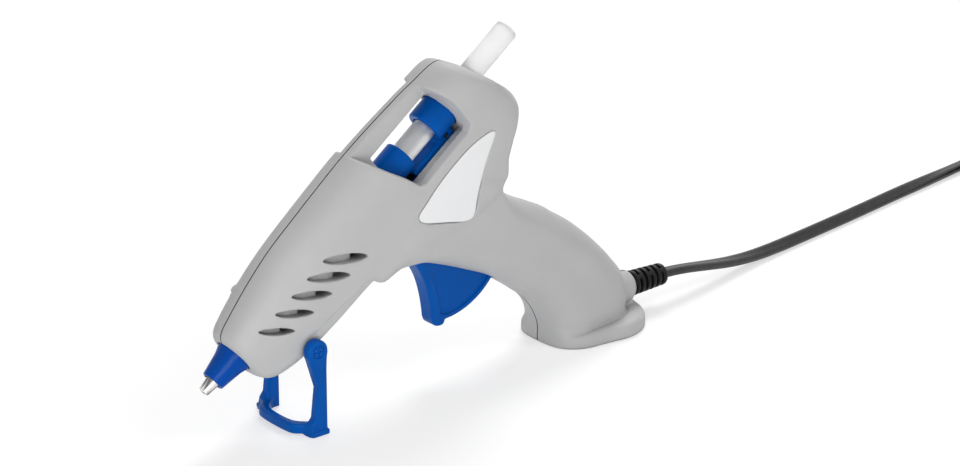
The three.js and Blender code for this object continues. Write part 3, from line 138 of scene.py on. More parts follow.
def skin(name, rings, closed=False):
    """A mesh over rings of points."""
    rings = np.asarray(rings, float)
    rows, count = rings.shape[:2]
    faces = quads_between(rows, count, closed)
    if not closed:
        faces.append(tuple(range(count))[::-1])
        faces.append(tuple(range((rows - 1) * count, rows * count)))
    return face_out(make_piece(name, rings.reshape(-1, 3), faces))


def face_out(piece):
    """The closed mesh with its faces turned outward."""
    mesh = piece.data
    mesh.calc_loop_triangles()
    co = np.zeros(len(mesh.vertices) * 3, np.float32)
    tri = np.zeros(len(mesh.loop_triangles) * 3, np.int32)
    mesh.vertices.foreach_get("co", co)
    mesh.loop_triangles.foreach_get("vertices", tri)
    co, tri = co.reshape(-1, 3).astype(float), tri.reshape(-1, 3)
    a, b, c = co[tri[:, 0]], co[tri[:, 1]], co[tri[:, 2]]
    if np.einsum("ij,ij->i", a, np.cross(b, c)).sum() < 0:
        mesh.flip_normals()
    return piece


def turned(name, profile, at, axis=ALONG, sides=64):
    """A turned form from places along the axis and radii: hollow if they end where they start."""
    side = np.array([0.0, 1.0, 0.0])
    angle = np.linspace(0, 2 * math.pi, sides, endpoint=False)
    wheel = np.outer(np.cos(angle), side) + np.outer(np.sin(angle), np.cross(axis, side))
    rings = [np.asarray(at) + np.asarray(axis) * along + wheel * radius for along, radius in profile]
    return smooth(skin(name, rings, closed=np.allclose(profile[0], profile[-1])))


def rounded(profile, radius, steps=4, most=0.45):
    """The profile with its inner corners rounded, each by at most this share of its sides, ends kept."""
    points = [np.asarray(p, float) for p in profile]
    out = [points[0]]
    for before, corner, after in zip(points, points[1:], points[2:]):
        back, ahead = before - corner, after - corner
        reach = min(radius, np.linalg.norm(back) * most, np.linalg.norm(ahead) * most)
        start = corner + back / max(np.linalg.norm(back), 1e-9) * reach
        end = corner + ahead / max(np.linalg.norm(ahead), 1e-9) * reach
        for t in np.linspace(0, 1, steps):
            out.append((1 - t) ** 2 * start + 2 * t * (1 - t) * corner + t * t * end)
    out.append(points[-1])
    return out


# Fields
class Room:
    """A box of evenly spaced points, with the coordinates along each side."""

    def __init__(self, low, high, step):
        self.low = np.asarray(low, float)
        self.step = step
        counts = np.ceil((np.asarray(high, float) - self.low) / step).astype(int) + 1
        self.shape = tuple(counts)
        axes = [(self.low[i] + step * np.arange(counts[i])).astype(np.float32) for i in range(3)]
        self.x = axes[0][:, None, None]
        self.y = axes[1][None, :, None]
        self.z = axes[2][None, None, :]

    def about(self, at):
        """Distance from the line across the part through a place."""
        return np.hypot(self.x - at[0], self.z - at[2])

    def barrel(self):
        """Places along and across the barrel of the room's points."""
        x, z = self.x - BARREL_AT[0], self.z - BARREL_AT[2]
        return x * ALONG[0] + z * ALONG[2], x * ACROSS[0] + z * ACROSS[2]


def merge(a, b, blend=None):
    """Both solids as one. blend says how wide their join is filled, as a number or one per point."""
    if blend is None:
        return np.minimum(a, b)
    mix = np.clip(blend - np.abs(a - b), 0, None)
    return np.minimum(a, b) - mix * mix / (4 * blend)


def both(a, b, blend=None):
    """What the two solids share."""
    return np.maximum(a, b) if blend is None else -merge(-a, -b, blend)


def carve(a, tool, blend=None):
    """The first solid without the second."""
    return -merge(-a, tool, blend)


def between(value, low, high):
    """The slab from low to high."""
    return np.maximum(low - value, value - high)


def outline_field(points, u, v):
    """Signed distance of (u, v) to a closed outline."""
    shape = np.broadcast(u, v).shape
    best = np.full(shape, 1e9, np.float32)
    inside = np.zeros(shape, bool)
    points = [tuple(p) for p in points]
    for (ax, ay), (bx, by) in zip(points, points[1:] + points[:1]):
        ex, ey = bx - ax, by - ay
        size = ex * ex + ey * ey
        if size < 1e-12:
            continue
        wx, wy = u - ax, v - ay
        t = np.clip((wx * ex + wy * ey) / size, 0, 1)
        best = np.minimum(best, (wx - ex * t) ** 2 + (wy - ey * t) ** 2)
        if ey:
            crossed = ((ay <= v) & (v < by)) | ((by <= v) & (v < ay))
            inside ^= crossed & (wx < wy * ex / ey)
    return np.where(inside, -1, 1).astype(np.float32) * np.sqrt(best)


# How many steps from its skin a loft's field is measured, and a field's value beyond its box
BAND, BEYOND = 12, 3


def loft_field(room, rings):
    """The field of a closed skin over rings of points."""
    rings = np.asarray(rings, float)
    rows, count = rings.shape[:2]
    points = np.concatenate([rings.reshape(-1, 3), [rings[0].mean(0)], [rings[-1].mean(0)]])
    end, first, last = (rows - 1) * count, rows * count, rows * count + 1
    caps = []
    for k in range(count):
        n = (k + 1) % count
        caps += [(k, first, n), (end + k, end + n, last)]
    places = ((points - room.low) / room.step).astype(np.float32)
    grid = openvdb.FloatGrid.createLevelSetFromPolygons(
        places, triangles=np.array(caps, np.uint32),
        quads=np.array(quads_between(rows, count), np.uint32),
        transform=openvdb.createLinearTransform(voxelSize=1.0), halfWidth=BAND,
    )
    values = np.full(room.shape, BAND, np.float32)
    grid.copyToArray(values)
    return values * room.step


def soften(values, rounds):
    """Each point drawn toward its neighbours, so that creases go."""
    for _ in range(rounds):
        for axis in range(3):
            ahead, behind = np.roll(values, -1, axis), np.roll(values, 1, axis)
            values = values * 0.5 + (ahead + behind) * 0.25
    return values


def field_piece(name, values, room, keep, place=None):
    """The mesh of a field's surface. keep is the share of its faces that stay."""
    grid = openvdb.FloatGrid(room.step * BEYOND)
    grid.copyFromArray(np.array(np.broadcast_to(values, room.shape), dtype=np.float32, order="C"))
    points, quads = grid.convertToQuads(isovalue=0.0)
    points = room.low + points * room.step
    if place is not None:
        points = place(points)
    piece = face_out(make_piece(name, points, quads))
    return smooth(apply_modifier(piece, "DECIMATE", ratio=keep))


def from_barrel_room(points):
    """Points written as along, Y, across the barrel, in the row frame."""
    return (BARREL_AT + np.outer(points[:, 0], ALONG) + np.outer(points[:, 2], ACROSS)
            + np.outer(points[:, 1], [0, 1, 0]))


def smoothstep(value, low, high):
    """From 0 at low to 1 at high, level at both."""
    t = np.clip((value - low) / (high - low), 0, 1)
    return t * t * (3 - 2 * t)


# Curves through tables of rows
def monotone(at, values, where):
    """A smooth curve through values that never swings past them."""
    at, values = np.asarray(at, float), np.asarray(values, float)
    steps = np.diff(at)
    slopes = np.diff(values) / steps
    tangents = np.zeros(len(at))
    for i in range(1, len(at) - 1):
        if slopes[i - 1] * slopes[i] > 0:
            w1, w2 = 2 * steps[i] + steps[i - 1], steps[i] + 2 * steps[i - 1]
            tangents[i] = (w1 + w2) / (w1 / slopes[i - 1] + w2 / slopes[i])
    tangents[0], tangents[-1] = slopes[0], slopes[-1]
    cell = np.clip(np.searchsorted(at, where) - 1, 0, len(steps) - 1)
    h = steps[cell]
    t = (where - at[cell]) / h
    return ((2 * t ** 3 - 3 * t ** 2 + 1) * values[cell] + (t ** 3 - 2 * t ** 2 + t) * h * tangents[cell]
            + (3 * t ** 2 - 2 * t ** 3) * values[cell + 1] + (t ** 3 - t ** 2) * h * tangents[cell + 1])


def more_rows(table, at, count):
    """The table's rows at count even steps."""
    table = np.asarray(table, float)
    where = np.linspace(at[0], at[-1], count)
    return np.stack([monotone(at, column, where) for column in table.T], 1)


def catmull(points, per=8, closed=False):
    """Points on a centripetal curve through the given ones."""
    points = np.asarray(points, float)
    if closed:
        ring = np.concatenate([points[-1:], points, points[:2]])
    else:
        ring = np.concatenate([[2 * points[0] - points[1]], points, [2 * points[-1] - points[-2]]])
    out = []
    for p0, p1, p2, p3 in zip(ring, ring[1:], ring[2:], ring[3:]):
        gaps = [max(np.linalg.norm(b - a), 1e-6) ** 0.5 for a, b in ((p0, p1), (p1, p2), (p2, p3))]
        knots = np.cumsum([0] + gaps)
        for t in np.linspace(knots[1], knots[2], per, endpoint=False):
            a1 = lerp(p0, p1, knots[0], knots[1], t)
            a2 = lerp(p1, p2, knots[1], knots[2], t)
            a3 = lerp(p2, p3, knots[2], knots[3], t)
            b1, b2 = lerp(a1, a2, knots[0], knots[2], t), lerp(a2, a3, knots[1], knots[3], t)
            out.append(lerp(b1, b2, knots[1], knots[2], t))
    if not closed:
        out.append(points[-1])
    return np.array(out)


def lerp(a, b, ta, tb, t):
    """The point at t between a at ta and b at tb."""
    return a + (b - a) * ((t - ta) / (tb - ta))


# Materials, each with its grain, wear and bump
class Nodes:
    """A material's node tree, with short calls to add and join nodes."""

    def __init__(self, owner):
        """owner is the world, or the name of a new material."""
        self.owner = bpy.data.materials.new(owner) if isinstance(owner, str) else owner
        self.owner.use_nodes = True
        self.tree = self.owner.node_tree
        self.tree.nodes.clear()

    def add(self, kind, inputs=None, **settings):
        node = self.tree.nodes.new("ShaderNode" + kind)
        for key, value in settings.items():
            setattr(node, key, value)
        for key, value in (inputs or {}).items():
            self.put(node, key, value)
        return node

    def put(self, node, key, value):
        if isinstance(value, bpy.types.NodeSocket):
            self.tree.links.new(value, node.inputs[key])
        else:
            node.inputs[key].default_value = value

    def noise(self, scale, detail=3.0, roughness=0.55, stretch=None):
        """Noise in the object's own place, with stretch along, across and up from the barrel's axis."""
        place = self.add("TexCoord").outputs["Object"]
        if stretch:
            place = self.add("Mapping", {"Vector": place, "Rotation": (0, TILT, 0)}).outputs["Vector"]
            place = self.add("Mapping", {"Vector": place, "Scale": stretch}).outputs["Vector"]
        return self.add("TexNoise", {"Vector": place, "Scale": scale, "Detail": detail,
                                     "Roughness": roughness}).outputs["Fac"]

    def span(self, value, low, high, start=0.35, end=0.65):
        return self.add("MapRange", {"Value": value, "From Min": start, "From Max": end,
                                     "To Min": low, "To Max": high}).outputs["Result"]

    def mix(self, share, first, second):
        return self.add("Mix", {0: share, 6: first, 7: second}, data_type="RGBA").outputs[2]

    def edges(self, start, end):
        """How worn a point is: 1 on outer edges."""
        sharp = self.add("NewGeometry").outputs["Pointiness"]
        return self.span(sharp, 0.0, 1.0, start, end)

    def finish(self, colour, rough, bumps, **sockets):
        """The shader, with bumps as pairs of height and depth in millimetres."""
        inputs = {"Base Color": colour, "Roughness": rough}
        for height, depth in bumps:
            below = {"Normal": inputs["Normal"]} if "Normal" in inputs else {}
            bump = self.add("Bump", {"Height": height, "Strength": 1.0, "Distance": depth * MM, **below})
            inputs["Normal"] = bump.outputs["Normal"]
        inputs.update({key.replace("_", " "): value for key, value in sockets.items()})
        return self.end(self.add("BsdfPrincipled", inputs))

    def end(self, shader):
        self.add("OutputMaterial", {0: shader.outputs[0]})
        return self.owner


def shade(colour, share=1.0):
    return tuple(min(1, c * share) for c in colour) + (1.0,)


# Scale of the flow patches; the pointiness at which edges are rubbed, and the grey they gain
PATCH, RUBBED, RUB_GAIN, RUB_KEEP = 45, (0.52, 0.62), 0.04, 0.98
# Painted shade: the reach of a recess, how open it is where the painted shade ends, and how dark the
# painted shade in recesses and along the seam is
PAINTED_SHADE_REACH, PAINTED_SHADE_OPEN, PAINTED_SHADE_DARK, SEAM_SHADE = 5, (0.15, 0.62), 0.3, 0.12


def moulded(name, colour, rough=0.5, grain=1500, depth=0.02, vary=0.06, wear=0.25, seam=None, **sockets):
    """Moulded plastic or rubber: fine grain, faint flow patches, edges rubbed lighter.

    Where seam is given, recesses get painted shade, and so does the middle plane to that many
    millimetres.
    """
    n = Nodes(name)
    patches = n.noise(PATCH, 4)
    fine = n.noise(grain, 2)
    base = n.mix(n.span(patches, 0, 1), shade(colour, 1 - vary), shade(colour, 1 + vary))
    rub = n.span(n.noise(PATCH * 8), 0, wear)
    worn = n.add("Math", {0: n.edges(*RUBBED), 1: rub}, operation="MULTIPLY")
    base = n.mix(worn.outputs[0], base, shade([RUB_GAIN + RUB_KEEP * c for c in colour]))
    if seam:
        # Painted shade: recesses darkened where ambient occlusion finds them closed in
        openness = n.add("AmbientOcclusion", {"Distance": PAINTED_SHADE_REACH * MM}, samples=6).outputs["AO"]
        base = n.mix(n.span(openness, 1.0, 0.0, *PAINTED_SHADE_OPEN), base, shade(colour, PAINTED_SHADE_DARK))
        # Painted shade along the seam: the strip within seam millimetres of the middle plane is
        # darkened, standing for the shade in the parting gap
        across = n.add("SeparateXYZ", {0: n.add("TexCoord").outputs["Object"]}).outputs["Y"]
        near = n.add("Math", {0: across}, operation="ABSOLUTE").outputs[0]
        line = n.span(near, 1.0, 0.0, seam * 0.9 * MM, seam * MM)
        base = n.mix(line, base, shade(colour, SEAM_SHADE))
    gloss = n.span(n.noise(PATCH * 3, 5), rough - 0.05, rough + 0.07)
    return n.finish(base, gloss, [(fine, depth), (patches, depth * 2)], **sockets)


def metal(name, colour, rough=0.3, tarnish=None, depth=0.004):
    """Metal with fine tool lines, small stains and a varied polish."""
    n = Nodes(name)
    lines = n.noise(900, 3, stretch=(1, 1, 1))
    stains = n.noise(160, 5, 0.65)
    stained = shade(tarnish) if tarnish else shade(colour, 0.75)
    base = n.mix(n.span(stains, 0, 1, 0.42, 0.7), shade(colour), stained)
    gloss = n.span(lines, rough - 0.08, rough + 0.14)
    return n.finish(base, gloss, [(lines, depth)], Metallic=1.0)


def nozzle_material():
    """Turned steel with dark streaks along it, painted reflections of dark surroundings."""
    n = Nodes("nozzle_steel")
    # Painted reflection: dark streaks along the axis darken the base colour
    streaks = n.noise(420, 2, 0.5, stretch=(0.06, 1, 1))
    fine = n.noise(1500, 3, stretch=(1, 0.2, 0.2))
    base = n.mix(n.span(streaks, 0, 1, 0.4, 0.52), (0.16, 0.155, 0.15, 1), (0.8, 0.79, 0.77, 1))
    rough = n.span(fine, 0.2, 0.38)
    return n.finish(base, rough, [(fine, 0.006)], Metallic=1.0)


def stick_material():
    """Clear glue, cloudy inside and faintly drawn along."""
    n = Nodes("hot_melt")
    cloud = n.noise(90, 5, 0.6)
    streaks = n.noise(700, 3, stretch=(0.25, 1, 0.25))
    base = n.mix(n.span(cloud, 0, 1), (0.93, 0.935, 0.93, 1), (0.98, 0.98, 0.975, 1))
    rough = n.span(streaks, 0.3, 0.48)
    return n.finish(
        base, rough, [(streaks, 0.03), (cloud, 0.2)], Transmission_Weight=0.75, IOR=1.48,
        Subsurface_Weight=0.2, Subsurface_Radius=(1, 1, 0.95), Subsurface_Scale=0.004,
    )


def cord_material():
    """Smooth black jacket, uneven along its length."""
    n = Nodes("cord_skin")
    length = n.noise(300, 4, stretch=(0.2, 1, 1))
    fine = n.noise(2600, 2)
    base = n.mix(n.span(length, 0, 1), (0.008, 0.008, 0.0085, 1), (0.018, 0.018, 0.0185, 1))
    rough = n.span(n.noise(120, 4), 0.24, 0.36)
    return n.finish(base, rough, [(fine, 0.012), (length, 0.05)], Specular_IOR_Level=0.4)


BLUE = {"colour": (0.0, 0.085, 0.39), "rough": 0.2, "grain": 2100, "depth": 0.008, "vary": 0.07,
        "wear": 0.2, "Specular_IOR_Level": 0.07}

materials = {
    # The housing gets painted shade in its recesses and along the seam
    "housing": moulded("housing_grain", (0.5, 0.5, 0.498), 0.52, 1900, 0.035, 0.02, 0.3, seam=0.36,
                       Specular_IOR_Level=0.3),
    "label": moulded("plate_satin", (0.85, 0.855, 0.86), 0.34, 2600, 0.006, 0.012, 0.1),
    "screws": metal("screw_steel", (0.42, 0.42, 0.44), 0.36, tarnish=(0.25, 0.22, 0.19)),
    "cord_rubber": moulded("relief_rubber", (0.007, 0.007, 0.0072), 0.42, 1500, 0.03, 0.2, 0.1,
                           Specular_IOR_Level=0.16),
    "clamp": moulded("clamp_plastic", (0.5, 0.5, 0.49), 0.5),
    "brass": metal("pin_brass", (0.75, 0.56, 0.27), 0.26, tarnish=(0.5, 0.34, 0.16)),
    "live": moulded("live_sleeving", (0.2, 0.09, 0.04), 0.38),
    "neutral": moulded("neutral_sleeving", (0.03, 0.14, 0.45), 0.38),
    "nozzle": nozzle_material(),
    "sleeve": moulded("sleeve_silicone", (0.0, 0.06, 0.34), 0.2, 2200, 0.008, 0.08, 0.2,
                      Specular_IOR_Level=0.08),
    "chamber": metal("chamber_cast", (0.62, 0.62, 0.63), 0.42, tarnish=(0.44, 0.42, 0.38), depth=0.02),
    "film": moulded("film_amber", (0.62, 0.28, 0.05), 0.28),
    "ceramic": moulded("tablet_ceramic", (0.42, 0.42, 0.4), 0.62, 900, 0.03),
    "spring_steel": metal("spring_wire", (0.55, 0.55, 0.56), 0.28),
    "silicone": moulded("inlet_silicone", (0.5, 0.12, 0.07), 0.46),
    "feed_blue": moulded("feed_plastic", **BLUE),
    "trigger_blue": moulded("trigger_plastic", **BLUE),
    "stand_blue": moulded("stand_plastic", **BLUE),
    "glue": stick_material(),
    "plug_rubber": moulded("plug_plastic", (0.02, 0.02, 0.021), 0.45, 1400, 0.03, 0.2, 0.12),
    "tie": moulded("tie_plastic", (0.03, 0.03, 0.03), 0.4),
    "cord_skin": cord_material(),
}


def dress(piece, body, slot, *nodes, look=None):
    """The piece gets its body and the material of its look, or else of its slot; the CAD nodes that it
    stands for are hidden.
    """
    piece.data.materials.clear()
    piece.data.materials.append(materials[look or slot])
    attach(piece, body)
    if nodes:
        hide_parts(*nodes)
    return piece


# The cord, drawn on the part's own route
CORD_WIDTH, CORD_HEIGHT, CORD_RISE = 6.8, 4.6, 15.3
CORD_AT = 140.6123
CORD_ROUTE = [
    (0, 0, CORD_RISE), (6.8, 0.3, 15), (15.8, 0.9, 13.8), (28.8, 2.1, 11.3), (42.8, 4, 8.3),
    (58.8, 6.5, 5.2), (76.8, 9.4, 3.2), (98.8, 12.4, 2.4), (129.8, 16.6, 2.4), (158.8, 21, 2.4),
    (188.8, 26, 2.4), (218.8, 31.2, 2.4), (248.8, 36, 2.5), (275.8, 39.6, 2.8), (285.2, 41, 3.22),
]
COIL_START = (298.8, 41.0)
COIL_TURNS, COIL_RADIUS, COIL_PITCH, COIL_RISE, COIL_LIFT, COIL_STEPS = 6, 38.5, 7.4, 5.15, 3.22, 24
COIL_CLIMB = 0.25
TAIL_LENGTH, TAIL_SHARES, TAIL_LEVEL = 42, (0.3, 0.6, 0.85, 1), 0.9
PLUG_LENGTH, PLUG_HALF_WIDTH, PLUG_HALF_HEIGHT = 38, 17, 6.9
# Between which places along X the cord turns on edge and back, by what share of a quarter turn
TWIST_ON, TWIST_OFF, TWIST_SHARE = (10, 130), (190, 262), 0.6
CORD_SOFTENING = 60
CORD_SIDES, CORD_POWER, GROOVE_DEPTH, GROOVE_WIDTH = 28, 2.6, 0.16, 0.3


def coil_points():
    """The coil's centreline: in along the lower layer, up, and out along the upper one."""
    reach = COIL_PITCH * COIL_TURNS / 4
    centre = (COIL_START[0], COIL_START[1] - COIL_RADIUS - reach)
    points = []
    for step in range(COIL_TURNS * COIL_STEPS + 1):
        turns = step / COIL_STEPS
        inward = turns if turns < COIL_TURNS / 2 else COIL_TURNS - turns
        radius = COIL_RADIUS + reach - inward * COIL_PITCH
        angle = math.pi / 2 - turns * 2 * math.pi
        climb = smoothstep(turns, COIL_TURNS / 2 - COIL_CLIMB, COIL_TURNS / 2 + COIL_CLIMB)
        points.append((centre[0] + radius * math.cos(angle), centre[1] + radius * math.sin(angle),
                       COIL_LIFT + COIL_RISE * float(climb)))
    end = points[-1]
    drop = COIL_LIFT + COIL_RISE - PLUG_HALF_HEIGHT
    for share in TAIL_SHARES:
        fallen = drop * float(smoothstep(share, 0, TAIL_LEVEL))
        points.append((end[0] + TAIL_LENGTH * share, end[1], end[2] - fallen))
    return [(points[0][0] - CORD_WIDTH, points[0][1], points[0][2])] + points


def cord_line():
    """The whole centreline, and how far the flat cord is turned on edge at each point."""
    free = catmull(CORD_ROUTE + coil_points()[:1], 6)
    back = smoothstep(free[:, 0], *TWIST_OFF)
    turn = TWIST_SHARE * smoothstep(free[:, 0], *TWIST_ON) * (1 - back) * math.pi / 2
    half = np.hypot(CORD_WIDTH / 2 * np.sin(turn), CORD_HEIGHT / 2 * np.cos(turn))
    for _ in range(CORD_SOFTENING):
        free[:, 2] = np.maximum(free[:, 2], half + GAP)
        free[1:-1] += (free[:-2] + free[2:] - 2 * free[1:-1]) / 4
    coil = catmull(coil_points(), 3)[1:]
    line = np.concatenate([free, coil])
    return line + [CORD_AT, 0, 0], np.concatenate([turn, np.zeros(len(coil))])


def cord_section():
    """The flat cord's outline, with a shallow groove between its two cores."""
    angle = np.linspace(0, 2 * math.pi, CORD_SIDES, endpoint=False)
    c, s = np.cos(angle), np.sin(angle)
    half = CORD_WIDTH / 2
    across = np.sign(c) * np.abs(c) ** (2 / CORD_POWER) * half
    groove = 1 - GROOVE_DEPTH * np.exp(-(across / (GROOVE_WIDTH * half)) ** 2)
    return across, np.sign(s) * np.abs(s) ** (2 / CORD_POWER) * (CORD_HEIGHT / 2) * groove


def make_cord():
    line, turns = cord_line()
    across, up = cord_section()
    rings = []
    for i, point in enumerate(line):
        ahead = line[min(i + 1, len(line) - 1)] - line[max(i - 1, 0)]
        ahead /= np.linalg.norm(ahead)
        side = np.cross([0, 0, 1], ahead)
        side /= np.linalg.norm(side)
        top = np.cross(ahead, side)
        c, s = math.cos(turns[i]), math.sin(turns[i])
        rings.append(point + np.outer(across * c - up * s, side) + np.outer(across * s + up * c, top))
    cord = smooth(skin("cord", rings), 60)
    dress(cord, "gun", "cord_rubber", "mains_cord", "cord_coil", look="cord_skin")
    return cord, line


# Housing: ribs of the barrel and grip as in the part, with smooth curves between them.
# Rows are shares of the sizes below: place or back, ridge, keel or front, half width and rounds.
NOSE, BODY, RIDGE, KEEL, HALF = 21.5, 181.5, 26.2, 50, 17
GRIP_LENGTH, GRIP_REACH, GRIP_HEIGHT, GRIP_HALF = 56, 92, 88, 15.5
POWER = 2.3
TAPER, TAPER_ROWS = 0.32, (7, 11)
BARREL_ROWS = [
    [0, 0.4, 0.26, 0.6, 0.53, 0.4], [0.011, 0.515, 0.34, 0.74, 0.7, 0.4],
    [0.058, 0.634, 0.437, 0.84, 0.82, 0.42], [0.124, 0.752, 0.483, 0.915, 1, 0.42],
    [0.19, 0.847, 0.5, 0.96, 1.18, 0.45], [0.256, 0.912, 0.514, 0.982, 1.29, 0.47],
    [0.38, 0.959, 0.53, 1, 1.29, 0.47], [0.398, 0.966, 0.645, 1, 1.29, 0.5],
    [0.43, 0.975, 0.69, 1, 1.29, 0.6], [0.543, 1, 0.8, 1, 1.29, 0.7],
    [0.763, 0.927, 0.96, 1, 1.29, 0.3], [0.829, 0.874, 0.975, 1, 1.18, 0.32],
    [0.873, 0.84, 0.852, 1, 1.06, 0.5], [0.906, 0.763, 0.775, 0.988, 0.88, 0.5],
    [0.934, 0.458, 0.712, 0.96, 0.59, 0.45], [0.961, 0.095, 0.65, 0.88, 0.53, 0.4],
    [0.983, -0.305, 0.59, 0.735, 0.47, 0.3], [1, -0.65, 0.54, 0.47, 0.235, 0.2],
]
GRIP_ROWS = [
    [-0.5, 1.14, -1.09, 0.85, 1.03, 0.3, 0.8], [-0.402, 1.102, -1, 0.735, 1.03, 0.3, 0.8],
    [-0.337, 1.01, -0.87, 0.715, 1.02, 0.35, 0.8], [-0.217, 0.923, -0.717, 0.66, 0.97, 0.85, 0.85],
    [-0.098, 0.861, -0.576, 0.597, 0.94, 1.15, 0.9], [0.054, 0.784, -0.446, 0.535, 0.93, 1.2, 1],
    [0.268, 0.693, -0.326, 0.46, 0.93, 1.2, 1.1], [0.5, 0.568, -0.212, 0.375, 0.95, 1.2, 1.2],
    [0.714, 0.427, -0.109, 0.284, 1.04, 1.2, 1.25], [0.862, 0.295, -0.046, 0.188, 1.2, 1.2, 1.2],
    [0.9, 0.17, -0.013, 0.102, 1.34, 1.15, 1.1], [0.91, 0.091, 0, 0.057, 1.36, 1.1, 1],
    [0.915, 0, 0, 0, 1.36, 1.05, 0.95],
]


def rib_ring(ridge, keel, width, ridge_round, keel_round, taper=1.0, turns=16):
    """One closed rib: a rounded ridge, straight flanks and a rounded keel. taper narrows the ridge."""
    tall = np.linalg.norm(keel - ridge)
    down = (keel - ridge) / tall
    turn = np.linspace(0, math.pi / 2, turns)
    deep, out = 1 - np.cos(turn) ** (2 / POWER), width * np.sin(turn) ** (2 / POWER)
    depth = np.concatenate([deep * ridge_round, (tall - deep * keel_round)[::-1]])
    half = ridge + np.outer(depth, down)
    out = np.concatenate([out, out[::-1]]) * (taper + (1 - taper) * depth / tall)
    side = np.outer(out, [0, 1, 0])
    return np.concatenate([half - side, (half + side)[::-1][1:-1]])


def barrel_rings(count=140):
    rows = more_rows(BARREL_ROWS, [r[0] for r in BARREL_ROWS], count)
    rings = []
    for along, ridge, keel, width, ridge_round, keel_round in rows:
        at = BARREL_AT + ALONG * (NOSE + BODY * along)
        rings.append(rib_ring(at + ACROSS * RIDGE * ridge, at - ACROSS * KEEL * keel, HALF * width,
                              HALF * ridge_round, HALF * keel_round))
    return rings


def grip_rings(count=110):
    rows = more_rows(GRIP_ROWS, list(range(len(GRIP_ROWS))), count)
    tapers = 1 - TAPER * smoothstep(np.linspace(0, len(GRIP_ROWS) - 1, count), *TAPER_ROWS)
    rings = []
    for (back_x, back_z, front_x, front_z, *widths), taper in zip(rows, tapers):
        back, front = (np.array([x * (GRIP_REACH if x < 0 else GRIP_LENGTH) + SHIFT, 0, GRIP_HEIGHT * z])
                       for x, z in ((back_x, back_z), (front_x, front_z)))
        rings.append(rib_ring(back, front, *(GRIP_HALF * share for share in widths), float(taper)))
    return rings


FOOT_LENGTH, FOOT_HALF, FOOT_THICK, FOOT_CORNER, FOOT_ROUND = 61, 26, 7.5, 20, 3.4
# How wide the joins of grip, foot and cord boss are filled, and what the first two lose of that
GRIP_JOIN, GRIP_JOIN_LOSS, FOOT_JOIN, FOOT_JOIN_LOSS, BOSS_JOIN = 5.0, 3.2, 6.0, 5.7, 3.0
MOAT_WIDTH, MOAT_FLOOR = 0.9, 6.3
BOSS_RADIUS, BOSS_FROM, BOSS_TO, BOSS_ROUND = 8.3, 39.6, 58.6, 5.0


def foot_outline():
    sweep = FOOT_THICK / 4 - FOOT_CORNER
    points = [(t * t * FOOT_CORNER, -FOOT_HALF + FOOT_CORNER + (2 * t * (1 - t) + t * t) * sweep)
              for t in np.linspace(0, 1, 12)]
    tail = [(FOOT_LENGTH - FOOT_HALF + FOOT_HALF * math.cos(a), FOOT_HALF * math.sin(a))
            for a in np.linspace(-math.pi / 2, math.pi / 2, 32)]
    points = points + tail + [(x, -y) for x, y in points[::-1]]
    return [(x + SHIFT, y) for x, y in points]


BARREL_SCREWS = ((45.1, 14.5), (112.1, 17), (183.9, 13.1), (108.1, -28))
SCREWS = [
    *(BARREL_AT + ALONG * s + ACROSS * n for s, n in BARREL_SCREWS),
    *(np.array([x + SHIFT, 0, z]) for x, z in ((-34.9, 95.9), (7.8, 54.6), (11.2, 14.1))),
]
WINDOW_FRONT, WINDOW_REAR, WINDOW_FLOOR, WINDOW_TOP = 130, 172, 12.1, 15.6
WINDOW_HALF, SHELF_TOP, SHELF_INSIDE = 12, -9, 7.5
# The pocket round the window, along and across the barrel
LIP = [(119, 32.2), (122.3, 26.2), (133.3, 1.8), (136.2, -6.7), (139.5, -8.8), (171, -8.8),
       (174.3, -6.3), (174.3, 9), (172.5, 24), (171, 32.2)]
RAIL_HALF, LIP_DRAFT, DRAFT_ALONG = 3.8, 0.28, (134, 150)
VENT_START, VENT_PITCH = np.array([34.3, 8.9]), np.array([10.8, 0])
VENT_RUN, VENT_GROWTH = np.array([12.7, -14.7]), np.array([1.4, -0.98])
VENT_HALF, VENT_SWELL, VENT_POWER, VENT_COUNT = 1.75, 0.09, 0.68, 5
VENT_WALL, VENT_REACH, VENT_INSIDE, VENT_FLOOR, VENT_FALL = 1.8, 9, 8.4, 3.4, 2.4
VENT_HOLE, HOLE_SCALE, HOLE_INSIDE = 0.74, 20, 7
# Bores along the barrel: radius, from and to
NOZZLE_BORE, COLLAR_BORE, COLLAR_SEAT = (9.05, 15, 27.5), (8.5, 121.5, 136), (11.5, 117, 127.5)
FEED_BORE, STICK_BORE = (9.6, 166, 178), (6.85, 172, 215)
# Slots for the carriage: along, across and half width
BAR_SLOT = ((127.2, 136), (-12.1, -8.2), 5.3)
TONGUE_SLOT = ((131.7, 156.3), (-20.6, -9.1), 3.6)
# The flat for the folded stand's arms, and its depth from the middle plane
RECESS = [(40.1, -12.5), (50.3, -14.4), (88.6, -19.2), (91.6, -25), (91.6, -50), (40.1, -50)]
RECESS_SIDE = 15.6
LABEL = [
    (-42.3, 121.4), (-45.7, 113.9), (-49.4, 105), (-53.1, 92.3), (-54.7, 85.2), (-56.2, 83.1),
    (-59.7, 82.4), (-68.6, 84), (-85.3, 87.7), (-87.2, 89.6), (-87, 91.6), (-83, 96), (-75.7, 103.7),
    (-65.5, 112.3), (-55.3, 119.1), (-47.9, 122.3), (-44.2, 123.2), (-42.6, 122.8),
]
LABEL_GAP, LABEL_FLOOR = 0.45, 16.4
# Radius, and from and to on each flank or across both
SCREW_BOSS, HUB, SEAT = 4.4, (4.5, 6.6, FAR), (5.4, 10.0, 16.3)
STUD, PEG = (3.2, 14.0, 20.2), (3.8, 7.8, 10.6)
PIN_HOLE, SCREW_HOLE, SCREW_WELL = (2.3, -13.1, 13.1), (1.85, -9.1, FAR), (3.3, 6.5, FAR)
TRIGGER_SLOT_RADIUS, TRIGGER_SLOT_HALF, TRIGGER_SLOT_BACK, TRIGGER_SLOT_TOP = 39.8, 5.3, 19.6, 3
# Radius, and from and to behind the grip's front
CORD_WELL, CORD_HOLE = (6.7, 33, 55.6), (5.2, 50, 70)


